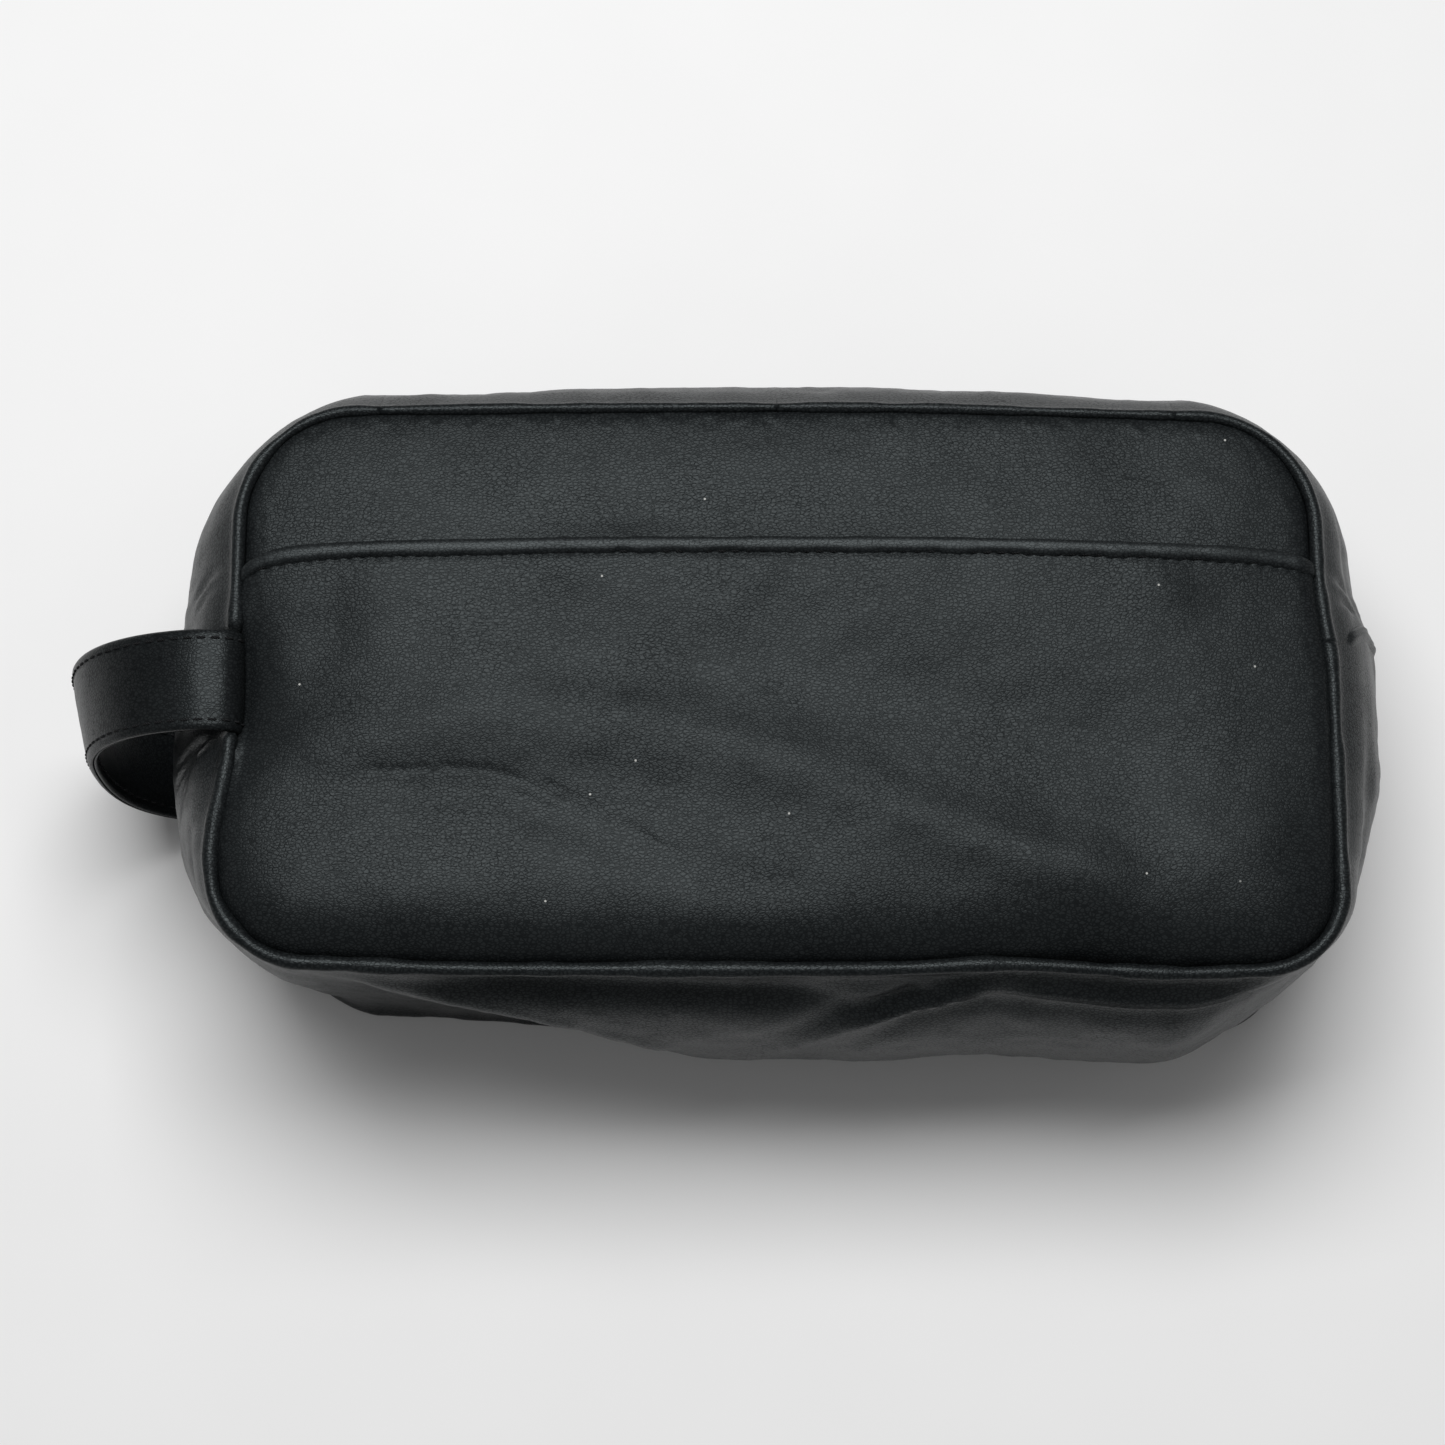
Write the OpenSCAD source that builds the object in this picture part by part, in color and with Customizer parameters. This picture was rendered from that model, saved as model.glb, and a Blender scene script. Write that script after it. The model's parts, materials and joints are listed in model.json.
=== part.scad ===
// Zip-top wash bag with a side loop handle and a full-width slip pocket.
// It lies on its back panel: +X runs along the bag, +Y points to the zip, +Z out of the front.

/* [Body] */
// Width of the front and back panels
panel_w = 250; // [220:5:300]
// Height of the panels, from the base to the zip side
panel_h = 130; // [120:5:160]
// Depth between the two edge seams
seam_gap = 92; // [84:1:100]
// How far the sides bulge out past the edge seams
bulge = 16; // [12:1:18]
// Radius of the two panel corners beside the zip
top_corner_r = 26; // [22:1:30]
// Radius of the two panel corners at the base
base_corner_r = 18; // [14:1:22]
// Thickness of the leather
leather_t = 1.2; // [0.9:0.1:1.4]

/* [Pocket] */
// Distance from the zip side of the panel down to the pocket's mouth
pocket_drop = 36; // [30:1:42]
// Length of one stitch and the gap after it
stitch_pitch = 3.2; // [2.8:0.1:4]

/* [Zip] */
// Length of the zip
zip_len = 190; // [180:2:192]
// Length of the middle stretch of the two zip strips that opens
mouth_len = 110; // [90:2:116]
// Width of the gap between the two leather zip strips
zip_slot = 10; // [10:0.5:12]
// Distance between neighbouring teeth
tooth_pitch = 3; // [2.5:0.1:4]
// Length of the zip pull
pull_len = 26; // [20:1:28]

/* [Handle] */
// Width of the handle strap
strap_w = 22; // [18:1:24]
// Thickness of one layer of the strap
strap_layer = 1.3; // [1:0.1:1.5]
// Height of the handle's middle above the middle of the panels
handle_y = 3; // [0:1:5]

/* [Hidden] */
$fn = 64;

// Slack between pieces of one body, between a face and what lies on it, and between pieces
// that move past each other
fit_gap = 0.1;
skin_gap = 0.05;
move_gap = 0.4;

// Heights of the edge seams and of the middle of the bag's depth
seam_back_z = 3;
seam_front_z = seam_back_z + seam_gap;
mid_z = seam_back_z + seam_gap / 2;
half_gap = seam_gap / 2;
half_w = panel_w / 2;
half_h = panel_h / 2;

// The side walls follow one arc from seam to seam
wall_r = (half_gap * half_gap + bulge * bulge) / (2 * bulge);
wall_centre = bulge - wall_r;
crest_y = half_h + bulge;
panel_edge_gap = 1.4;
roll_r = 1.3;
roll_out = 0.6;
roll_lift = 0.4;
cord_sides = 24;
wall_trim = 1;
lip_trim = 1.4;

// How far a cut reaches to the inside and to the outside of the seams
cut_in = 8;
cut_reach = 40;

// A raised lap over each cross seam
lap_w = 3;
lap_t = 0.6;
lap_trim = 3;

// Layers of the front, from the inside out
lining_t = 0.4;
front_panel_z = seam_front_z - 0.2;
pocket_lining_z = front_panel_z + leather_t + fit_gap;
pocket_panel_z = pocket_lining_z + lining_t + fit_gap;
pocket_face_z = pocket_panel_z + leather_t;
pocket_mouth_y = half_h - pocket_drop;
hem_r = 1.1;
hem_rise = 0.5;
hem_stitch_in = 1.2;
hem_half = half_w - panel_edge_gap - 0.5;
hem_stitch_half = hem_half - 2.5;
lining_inset = 2.6;

// Height of the seam that joins the base gusset to the zip gusset at each end
cross_seam_y = 10.5;

// Thread
thread_t = 0.5;
stitch_len = stitch_pitch * 0.7;

// Zip, measured across its width and down from the crest
zip_half = zip_len / 2;
mouth_half = mouth_len / 2;
slot_half = zip_slot / 2;
tooth_in = 0.5;
tooth_out = 2.9;
tooth_len = tooth_pitch * 0.6;
tooth_top_y = crest_y - 0.6;
tooth_t = 2.2;
tape_top_y = crest_y - leather_t - 0.9;
tape_t = 0.5;
tape_half = 10;
stop_len = 3;
zip_end_gap = 0.5;
tooth_end = zip_half - stop_len - 2 * zip_end_gap;
strip_stitch_out = slot_half + 2.2;
strip_stitch_start = mouth_half + 2;

// Slider and pull
slider_len = 12;
slider_w = 9;
slider_x = -(tooth_end - slider_len / 2);
slider_plate_t = 1;
slider_top_y = tooth_top_y + move_gap;
slider_base_y = tooth_top_y - tooth_t - move_gap;
post_t = 0.4;
bridge_top_y = slider_top_y + slider_plate_t;
pin_r = 0.7;
pin_lift = 0.6;
pin_y = bridge_top_y + pin_lift + pin_r;
bridge_half = 3;
bridge_leg = 1.2;
bridge_h = 3.1;
bridge_bar_t = 0.7;
bridge_w = 2;
pull_w = 8;
pull_t = 1.8;
pull_start = 4.5;
cheek_w = 1.6;
cheek_in = bridge_w / 2 + move_gap;
cheek_r = 1.1;
cheek_lap = 1;
pull_hole_r = 1.6;

// Handle loop: a half ring from the front seam to the back seam, hinged beside the wall
loop_r = half_gap;
loop_in = 1;
hinge_out = 11;
anchor_root_out = 2.6;
loop_x = -(half_w - loop_in);
hinge_x = -(half_w + hinge_out);
anchor_root_x = -(half_w + anchor_root_out);
strap_half = strap_w / 2;
layer_slit = 0.03;
horn_start = 5;
edge_stitch_in = 2.3;
edge_stitch_start = 2;
tall = 4 * seam_gap;

// Outline of a panel, drawn in by a distance
module panel_outline(inset) {
    top_r = top_corner_r - inset;
    base_r = base_corner_r - inset;
    for (side = [-1, 1]) {
        translate([side * (half_w - top_corner_r), half_h - top_corner_r]) circle(r = top_r);
        translate([side * (half_w - base_corner_r), base_corner_r - half_h]) circle(r = base_r);
    }
    translate([-(half_w - base_corner_r), -(half_h - inset)])
        square([2 * (half_w - base_corner_r), panel_h / 2]);
    translate([-(half_w - top_corner_r), 0])
        square([2 * (half_w - top_corner_r), half_h - inset]);
    translate([-(half_w - inset), base_corner_r - half_h])
        square([2 * (half_w - inset), panel_h - base_corner_r - top_corner_r]);
}

// A flat sheet with the panel's outline
module panel_sheet(inset, low_z, thickness) {
    translate([0, 0, low_z]) linear_extrude(thickness) panel_outline(inset);
}

// Section of a side wall: out past the seam in X, up the depth in Y.
// It starts a depth below the outer face and ends between two heights.
module wall_section(depth, thickness, low_z, high_z) {
    intersection() {
        difference() {
            translate([wall_centre, mid_z]) circle(r = wall_r - depth, $fn = 200);
            translate([wall_centre, mid_z]) circle(r = wall_r - depth - thickness, $fn = 200);
        }
        translate([-cut_in, low_z]) square([cut_reach, high_z - low_z]);
    }
}

// A straight wall that runs along the local Y axis
module straight_wall(from, to, depth, thickness, low_z, high_z) {
    translate([0, to, 0]) rotate([90, 0, 0])
        linear_extrude(to - from) wall_section(depth, thickness, low_z, high_z);
}

// A quarter-round corner of the wall
module corner_wall(radius, start, depth, thickness, low_z, high_z) {
    rotate([0, 0, start]) rotate_extrude(angle = 90, $fn = 96)
        translate([radius, 0]) wall_section(depth, thickness, low_z, high_z);
}

// The lower run of wall: up from one cross seam, round the base and up to the other
module base_run(depth, thickness) {
    low = seam_back_z + wall_trim;
    high = seam_front_z - wall_trim;
    corner_y = base_corner_r - half_h;
    corner_x = half_w - base_corner_r;
    translate([half_w, 0, 0]) straight_wall(corner_y, cross_seam_y, depth, thickness, low, high);
    mirror([1, 0, 0]) translate([half_w, 0, 0])
        straight_wall(corner_y, cross_seam_y, depth, thickness, low, high);
    translate([corner_x, corner_y, 0])
        corner_wall(base_corner_r, 270, depth, thickness, low, high);
    translate([-corner_x, corner_y, 0])
        corner_wall(base_corner_r, 180, depth, thickness, low, high);
    translate([0, -half_h, 0]) rotate([0, 0, -90])
        straight_wall(-corner_x, corner_x, depth, thickness, low, high);
}

// The upper run of wall at the right end, with the slot for the end of the zip
module end_run(depth, thickness, slot) {
    low = seam_back_z + wall_trim;
    high = seam_front_z - wall_trim;
    corner_y = half_h - top_corner_r;
    corner_x = half_w - top_corner_r;
    first_y = cross_seam_y + fit_gap;
    translate([half_w, 0, 0]) straight_wall(first_y, corner_y, depth, thickness, low, high);
    translate([corner_x, corner_y, 0]) corner_wall(top_corner_r, 0, depth, thickness, low, high);
    difference() {
        translate([0, half_h, 0]) rotate([0, 0, 90])
            straight_wall(-corner_x, -mouth_half - move_gap, depth, thickness, low, high);
        translate([0, half_h - cut_in, mid_z - slot]) cube([zip_half, cut_reach, 2 * slot]);
    }
}

// Copies a right-hand shape to the left end
module to_left() {
    mirror([1, 0, 0]) children();
}

// Copies a front shape to the back
module to_back() {
    translate([0, 0, 2 * mid_z]) mirror([0, 0, 1]) children();
}

// A round cord that follows the panel's edge
module edge_cord(out, height, radius) {
    top_x = half_w - top_corner_r;
    base_x = half_w - base_corner_r;
    top_y = half_h - top_corner_r;
    base_y = base_corner_r - half_h;
    for (side = [-1, 1]) {
        translate([side * (half_w + out), base_y, height])
            rotate([-90, 0, 0]) cylinder(h = top_y - base_y, r = radius, $fn = cord_sides);
        translate([side * top_x, top_y, height]) rotate([0, 0, side > 0 ? 0 : 90])
            rotate_extrude(angle = 90)
                translate([top_corner_r + out, 0]) circle(r = radius, $fn = cord_sides);
        translate([side * base_x, base_y, height]) rotate([0, 0, side > 0 ? 270 : 180])
            rotate_extrude(angle = 90)
                translate([base_corner_r + out, 0]) circle(r = radius, $fn = cord_sides);
    }
    translate([-top_x, half_h + out, height]) rotate([0, 90, 0])
        cylinder(h = 2 * top_x, r = radius, $fn = cord_sides);
    translate([-base_x, -half_h - out, height]) rotate([0, 90, 0])
        cylinder(h = 2 * base_x, r = radius, $fn = cord_sides);
}

// Places that follow each other along a line, centred between two ends
function steps_between(from, to, pitch) =
    let (count = floor((to - from) / pitch), spare = (to - from) - count * pitch)
    [for (i = [0:count - 1]) from + spare / 2 + (i + 0.5) * pitch];

// One row of zip teeth on the front side of the zip
module tooth_row(from, to) {
    for (x = steps_between(from, to, tooth_pitch))
        translate([x - tooth_len / 2, tooth_top_y - tooth_t, mid_z + tooth_in])
            cube([tooth_len, tooth_t, tooth_out - tooth_in]);
}

// One woven tape on the front side of the zip, held clear of the teeth
module tape(from, to) {
    translate([from, tape_top_y - tape_t, mid_z + tooth_out])
        cube([to - from, tape_t, tape_half - tooth_out]);
}

// One row of stitches on the front leather strip, beside the zip
module strip_stitches(from, to) {
    across = strip_stitch_out;
    lift = sqrt(wall_r * wall_r - across * across) + wall_centre + half_h;
    for (x = steps_between(from, to, stitch_pitch))
        translate([x - stitch_len / 2, lift + skin_gap, mid_z + across - thread_t / 2])
            cube([stitch_len, thread_t / 2, thread_t]);
}

module back_panel() {
    color("#2b2e30") panel_sheet(panel_edge_gap, 0, leather_t);
}

module front_panel() {
    color("#2b2e30") panel_sheet(panel_edge_gap, front_panel_z, leather_t);
}

module base_gusset() {
    color("#232628") base_run(0, leather_t);
}

module zip_gusset_right() {
    color("#232628") end_run(0, leather_t, slot_half);
}

module zip_gusset_left() {
    color("#232628") to_left() end_run(0, leather_t, slot_half);
}

module seam_roll_front() {
    color("#1c1f20") edge_cord(roll_out, seam_front_z + roll_lift, roll_r);
}

module seam_roll_back() {
    color("#1c1f20") edge_cord(roll_out, seam_back_z - roll_lift, roll_r);
}

// A raised lap over the joint between base gusset and zip gusset
module cross_seam_right() {
    color("#1c1f20") translate([half_w, 0, 0])
        straight_wall(cross_seam_y - lap_w / 2, cross_seam_y + lap_w / 2, -lap_t - skin_gap, lap_t,
            seam_back_z + lap_trim, seam_front_z - lap_trim);
}

module cross_seam_left() {
    to_left() cross_seam_right();
}

// The pocket's outer panel covers the front from the base up to the mouth
module pocket_sheet(inset, low_z, thickness, top_y) {
    intersection() {
        panel_sheet(inset, low_z, thickness);
        translate([-half_w, -half_h, low_z - 1]) cube([panel_w, top_y + half_h, thickness + 2]);
    }
}

module pocket_panel() {
    color("#2f3234") pocket_sheet(panel_edge_gap, pocket_panel_z, leather_t, pocket_mouth_y);
}

module pocket_lining() {
    color("#151515") pocket_sheet(panel_edge_gap, pocket_lining_z, lining_t, pocket_mouth_y - 1);
}

// The folded edge of the pocket's mouth
module pocket_hem() {
    color("#2b2e30")
    translate([-hem_half, pocket_mouth_y + hem_r + skin_gap, pocket_face_z - hem_r + hem_rise])
        rotate([0, 90, 0]) cylinder(h = 2 * hem_half, r = hem_r, $fn = cord_sides);
}

module pocket_hem_stitching() {
    color("#101112")
    for (x = steps_between(-hem_stitch_half, hem_stitch_half, stitch_pitch))
        translate([x - stitch_len / 2, pocket_mouth_y - hem_stitch_in, pocket_face_z + skin_gap])
            cube([stitch_len, thread_t, thread_t / 2]);
}

module lining_back() {
    color("#151515") panel_sheet(lining_inset, leather_t + fit_gap, lining_t);
}

module lining_front() {
    color("#151515") panel_sheet(lining_inset, front_panel_z - fit_gap - lining_t, lining_t);
}

module lining_base() {
    color("#151515") base_run(leather_t + fit_gap, lining_t);
}

module lining_right() {
    color("#151515") end_run(leather_t + fit_gap, lining_t, tape_half + 1);
}

module lining_left() {
    color("#151515") to_left() end_run(leather_t + fit_gap, lining_t, tape_half + 1);
}

// The zip's fixed ends carry a front and a back tape
module zip_tape_right() {
    color("#17181a") {
        tape(mouth_half + move_gap, zip_half - zip_end_gap);
        to_back() tape(mouth_half + move_gap, zip_half - zip_end_gap);
    }
}

module zip_tape_left() {
    to_left() zip_tape_right();
}

module zip_teeth_right() {
    color("#202224") {
        tooth_row(mouth_half + move_gap, tooth_end);
        to_back() tooth_row(mouth_half + move_gap, tooth_end);
    }
}

module zip_teeth_left() {
    to_left() zip_teeth_right();
}

module strip_stitching_right() {
    color("#101112") {
        strip_stitches(strip_stitch_start, half_w - top_corner_r);
        to_back() strip_stitches(strip_stitch_start, half_w - top_corner_r);
    }
}

module strip_stitching_left() {
    to_left() strip_stitching_right();
}

// A metal stop across both rows of teeth
module zip_stop_right() {
    color("#6f7275")
    translate([zip_half - stop_len - zip_end_gap, tooth_top_y - tooth_t, mid_z - tooth_out + fit_gap])
        cube([stop_len, tooth_t, 2 * (tooth_out - fit_gap)]);
}

module zip_stop_left() {
    to_left() zip_stop_right();
}

// Ring of strap between two radii, over the strap's width
module strap_ring(outer_r, inner_r) {
    translate([loop_x, strap_half, mid_z]) rotate([90, 0, 0]) difference() {
        cylinder(h = strap_w, r = outer_r, $fn = 160);
        translate([0, 0, -strap_w]) cylinder(h = 3 * strap_w, r = inner_r, $fn = 160);
    }
}

// Moves the handle to its height
module at_handle() {
    translate([0, handle_y, 0]) children();
}

// The strap's fixed end at one seam: straight from the seam, with a round tip at the hinge
module anchor_shape() {
    intersection() {
        translate([hinge_x, 0, mid_z]) cylinder(h = seam_gap, r = strap_half);
        translate([hinge_x - strap_w, -strap_half, mid_z]) cube([strap_w, strap_w, seam_gap]);
    }
    translate([hinge_x, -strap_half, mid_z]) cube([anchor_root_x - hinge_x, strap_w, seam_gap]);
}

module handle_anchor_front() {
    color("#2b2e30") at_handle() intersection() {
        strap_ring(loop_r, loop_r - 2 * strap_layer);
        anchor_shape();
    }
}

module handle_anchor_back() {
    to_back() handle_anchor_front();
}

// What is left of the loop beyond the round tips. Its horns stop short of the hinge line,
// so that they pass beside the fixed ends as the loop swings.
module loop_layer(outer_r, inner_r) {
    difference() {
        intersection() {
            strap_ring(outer_r, inner_r);
            translate([hinge_x - 2 * strap_w - horn_start, -strap_w, mid_z - tall / 2])
                cube([2 * strap_w, 2 * strap_w, tall]);
        }
        translate([hinge_x, 0, mid_z]) cylinder(h = tall, r = strap_half + move_gap, center = true);
    }
}

module handle_outer() {
    color("#2b2e30") at_handle() loop_layer(loop_r, loop_r - strap_layer + layer_slit);
}

module handle_inner() {
    color("#26292b") at_handle()
        loop_layer(loop_r - strap_layer - layer_slit, loop_r - 2 * strap_layer);
}

// Two rows of edge stitches on the outer face of the loop
module handle_stitching() {
    first = asin((loop_in + hinge_out + strap_half + edge_stitch_start) / loop_r);
    turn = stitch_pitch / loop_r * 180 / PI;
    color("#101112") at_handle()
    for (row = [-1, 1])
        for (angle = steps_between(first, 180 - first, turn))
            translate([loop_x, row * (strap_half - edge_stitch_in), mid_z]) rotate([0, -angle, 0])
                translate([-stitch_len / 2, -thread_t / 2, loop_r + skin_gap])
                    cube([stitch_len, thread_t, thread_t / 2]);
}

// The middle of the front zip strip, which folds open about its seam
module lip_wall(depth, thickness, edge) {
    translate([0, half_h, 0]) rotate([0, 0, 90])
        straight_wall(-mouth_half, mouth_half, depth, thickness, mid_z + edge,
            seam_front_z - lip_trim);
}

module zip_strip_front() {
    color("#232628") lip_wall(0, leather_t, slot_half);
}

module zip_strip_back() {
    to_back() zip_strip_front();
}

module lip_lining_front() {
    color("#151515") lip_wall(leather_t + fit_gap, lining_t, tape_half + 1);
}

module lip_lining_back() {
    to_back() lip_lining_front();
}

module zip_tape_front() {
    color("#17181a") tape(-mouth_half, mouth_half);
}

module zip_tape_back() {
    to_back() zip_tape_front();
}

module zip_teeth_front() {
    color("#202224") tooth_row(-mouth_half, mouth_half);
}

module zip_teeth_back() {
    to_back() zip_teeth_front();
}

module strip_stitching_front() {
    color("#101112") strip_stitches(-mouth_half, mouth_half);
}

module strip_stitching_back() {
    to_back() strip_stitching_front();
}

// Slider: two plates joined by a thin post, and a bridge that holds the pull
module zip_slider() {
    color("#6f7275") translate([slider_x, 0, mid_z]) {
        for (low_y = [slider_top_y, slider_base_y - slider_plate_t])
            translate([-slider_len / 2, low_y, -slider_w / 2])
                cube([slider_len, slider_plate_t, slider_w]);
        translate([-slider_len / 2, slider_base_y, -post_t / 2])
            cube([slider_len / 3, slider_top_y - slider_base_y, post_t]);
        difference() {
            translate([-bridge_half, bridge_top_y, -bridge_w / 2])
                cube([2 * bridge_half, bridge_h, bridge_w]);
            translate([bridge_leg - bridge_half, bridge_top_y - 1, -bridge_w])
                cube([2 * (bridge_half - bridge_leg), bridge_h - bridge_bar_t + 1, 2 * bridge_w]);
        }
    }
}

// Pull: a pin under the bridge, two cheeks and a flat tab with a round hole
module zip_pull() {
    pin_half = cheek_in + cheek_w;
    color("#6f7275") translate([slider_x, pin_y, mid_z]) {
        translate([0, 0, -pin_half]) cylinder(h = 2 * pin_half, r = pin_r, $fn = 32);
        for (side = [0, 1]) mirror([0, 0, side]) {
            translate([-pull_start - cheek_lap, -pin_r, cheek_in])
                cube([pull_start + cheek_lap, 2 * pin_r, cheek_w]);
            translate([0, 0, cheek_in]) cylinder(h = cheek_w, r = cheek_r, $fn = 32);
        }
        difference() {
            union() {
                translate([-(pull_len - pull_w / 2), -pull_t / 2, -pull_w / 2])
                    cube([pull_len - pull_w / 2 - pull_start, pull_t, pull_w]);
                translate([-(pull_len - pull_w / 2), -pull_t / 2, 0]) rotate([-90, 0, 0])
                    cylinder(h = pull_t, r = pull_w / 2);
            }
            translate([-(pull_len - pull_w / 2), -pull_t, 0]) rotate([-90, 0, 0])
                cylinder(h = 2 * pull_t, r = pull_hole_r);
        }
    }
}

back_panel();
front_panel();
base_gusset();
zip_gusset_left();
zip_gusset_right();
seam_roll_front();
seam_roll_back();
cross_seam_left();
cross_seam_right();
pocket_panel();
pocket_lining();
pocket_hem();
pocket_hem_stitching();
lining_back();
lining_front();
lining_base();
lining_left();
lining_right();
zip_tape_left();
zip_tape_right();
zip_teeth_left();
zip_teeth_right();
strip_stitching_left();
strip_stitching_right();
zip_stop_left();
zip_stop_right();
handle_anchor_front();
handle_anchor_back();
zip_strip_front();
lip_lining_front();
zip_tape_front();
zip_teeth_front();
strip_stitching_front();
zip_strip_back();
lip_lining_back();
zip_tape_back();
zip_teeth_back();
strip_stitching_back();
zip_slider();
zip_pull();
handle_outer();
handle_inner();
handle_stitching();
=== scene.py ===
"""Looks of a black pebbled leather wash bag that lies on its back panel.

The shape work is done in millimetres and turned into metres when a mesh is made.
"""
import json
import math
from collections import namedtuple

import bmesh
import bpy
import numpy as np
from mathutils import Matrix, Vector


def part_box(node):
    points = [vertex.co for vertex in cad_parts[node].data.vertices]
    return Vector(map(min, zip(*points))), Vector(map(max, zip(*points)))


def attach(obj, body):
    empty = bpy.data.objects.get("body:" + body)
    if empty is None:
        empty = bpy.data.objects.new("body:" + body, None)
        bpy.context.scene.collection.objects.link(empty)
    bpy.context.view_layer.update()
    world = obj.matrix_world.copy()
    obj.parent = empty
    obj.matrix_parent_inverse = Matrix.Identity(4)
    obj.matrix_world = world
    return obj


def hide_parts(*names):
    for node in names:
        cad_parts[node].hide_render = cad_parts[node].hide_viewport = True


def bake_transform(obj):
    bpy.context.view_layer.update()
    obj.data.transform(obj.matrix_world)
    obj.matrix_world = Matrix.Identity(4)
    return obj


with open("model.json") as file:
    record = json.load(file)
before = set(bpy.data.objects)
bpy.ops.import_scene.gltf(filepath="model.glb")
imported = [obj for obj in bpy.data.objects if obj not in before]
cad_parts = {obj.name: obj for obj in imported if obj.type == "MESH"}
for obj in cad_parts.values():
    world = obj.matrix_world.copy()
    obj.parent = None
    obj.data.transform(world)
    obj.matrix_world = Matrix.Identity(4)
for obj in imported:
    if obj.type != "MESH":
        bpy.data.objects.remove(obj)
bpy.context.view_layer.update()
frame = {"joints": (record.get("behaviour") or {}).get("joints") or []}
MM = 0.001


def box_mm(node):
    """Lowest and highest corner of a CAD node, in millimetres."""
    low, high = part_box(node)
    return np.array(low) / MM, np.array(high) / MM


def middle_y(node):
    low, high = box_mm(node)
    return float(np.mean([low[1], high[1]]))


# ---- sizes from the frame
roll_low, roll_high = box_mm("seam_roll_front")
back_roll_low, back_roll_high = box_mm("seam_roll_back")
ROLL_SPAN = 1.9                                  # how far the CAD roll stands out past the panel outline
HALF_W = roll_high[0] - ROLL_SPAN
HALF_H = roll_high[1] - ROLL_SPAN
FRONT_Z = (roll_low[2] + roll_high[2]) / 2       # middle of the rolled front seam
BACK_Z = (back_roll_low[2] + back_roll_high[2]) / 2
MID_Z = (FRONT_Z + BACK_Z) / 2
TOP_R = 26.0
BASE_R = 18.0
CROSS_Y = middle_y("cross_seam_right")
MOUTH_Y = box_mm("pocket_hem")[1][1]
ZIP_HALF = box_mm("zip_tape_right")[1][0]
CREST_Y = box_mm("zip_strip_front")[1][1]
HANDLE_Y = middle_y("handle_outer")
ZIP_END = ZIP_HALF - 1.0
END_RUN = HALF_W - TOP_R - ZIP_END + TOP_R * math.pi / 2 + HALF_H - TOP_R - CROSS_Y

# ---- sizes of the visual parts
LEATHER = 1.2                                    # thickness of the wall's leather
PANEL_T = LEATHER * 0.8
PANEL_IN = 0.3                                   # how far a panel's edge lies inside the seam's outline
CLOTH = 0.4
LINING_GAP = LEATHER + 0.8                       # from the leather's outer face to the lining
STITCH = 3.2
ROLL_R = 1.9
ROLL_OUT = 0.7
ROLL_TURNS = np.linspace(212, -52, 16)           # degrees round the rolled edge, from the panel to the wall
FRONT_ROLL_Z = FRONT_Z - 0.3
BACK_ROLL_Z = BACK_Z + 0.1
WALL_TOP = FRONT_Z - 2.6
WALL_LOW = BACK_Z + 2.6
WALL_RUN = WALL_TOP - WALL_LOW
NECK = 1.3
STRAP_W = 24.0
STRAP_ROOT_Y = HANDLE_Y - 1.8
END_BULGE = 17.0
TOP_BULGE = CREST_Y - HALF_H - NECK - 1.0
BASE_BULGE = 13.5
SLOT_HALF = 5.0                                  # half the gap between the lips
FINE = 0.8                                       # mesh step of the front panels
WALL_STEP = 0.85
ZIP_STEP = 0.95
CLOTH_STEP = 3.0

# ---- small maths


def smooth(x, low, high):
    """0 below low, 1 above high and a smooth rise between them."""
    t = np.clip((np.asarray(x, float) - low) / (high - low), 0, 1)
    return t * t * (3 - 2 * t)


def bump(x, middle, width):
    return np.exp(-(((x - middle) / width) ** 2))


def value_noise(x, y, seed):
    """Smooth noise from -1 to 1 that changes over about one unit."""
    size = 128
    table = np.random.RandomState(seed).uniform(-1, 1, (size, size))
    x, y = np.broadcast_arrays(np.asarray(x, float), np.asarray(y, float))
    xi, yi = np.floor(x).astype(int), np.floor(y).astype(int)
    fx, fy = x - xi, y - yi
    fx = fx ** 3 * (fx * (fx * 6 - 15) + 10)
    fy = fy ** 3 * (fy * (fy * 6 - 15) + 10)
    a = table[xi % size, yi % size]
    b = table[(xi + 1) % size, yi % size]
    c = table[xi % size, (yi + 1) % size]
    d = table[(xi + 1) % size, (yi + 1) % size]
    return (a * (1 - fx) + b * fx) * (1 - fy) + (c * (1 - fx) + d * fx) * fy


def humps(x, table):
    """Sum of soft humps, each given by its place, width and height."""
    return sum(height * bump(x, place, width) for place, width, height in table)


def mounds(x, y, table):
    """Sum of round rises, each given by its x and y, its half sizes and its height."""
    return sum(height * np.exp(-((x - at_x) / wide) ** 2 - ((y - at_y) / tall) ** 2)
               for at_x, at_y, wide, tall, height in table)


def fractal(x, y, seed, octaves=3):
    total, amplitude = 0.0, 1.0
    for octave in range(octaves):
        finer = 2 ** octave
        total = total + amplitude * value_noise(np.asarray(x) * finer, np.asarray(y) * finer, seed + octave)
        amplitude *= 0.5
    return total


def places_along(points):
    """Distance along a path to each of its points."""
    return np.concatenate([[0], np.cumsum(np.linalg.norm(np.diff(points, axis=0), axis=1))])


def curve_through(places, values, at):
    """A smooth curve through a few given points."""
    places, values, at = np.asarray(places, float), np.asarray(values, float), np.asarray(at, float)
    slopes = np.gradient(values, places)
    i = np.clip(np.searchsorted(places, at) - 1, 0, len(places) - 2)
    h = places[i + 1] - places[i]
    t = np.clip((at - places[i]) / h, 0, 1)
    return ((2 * t ** 3 - 3 * t ** 2 + 1) * values[i] + (t ** 3 - 2 * t ** 2 + t) * h * slopes[i]
            + (3 * t ** 2 - 2 * t ** 3) * values[i + 1] + (t ** 3 - t ** 2) * h * slopes[i + 1])


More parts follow.
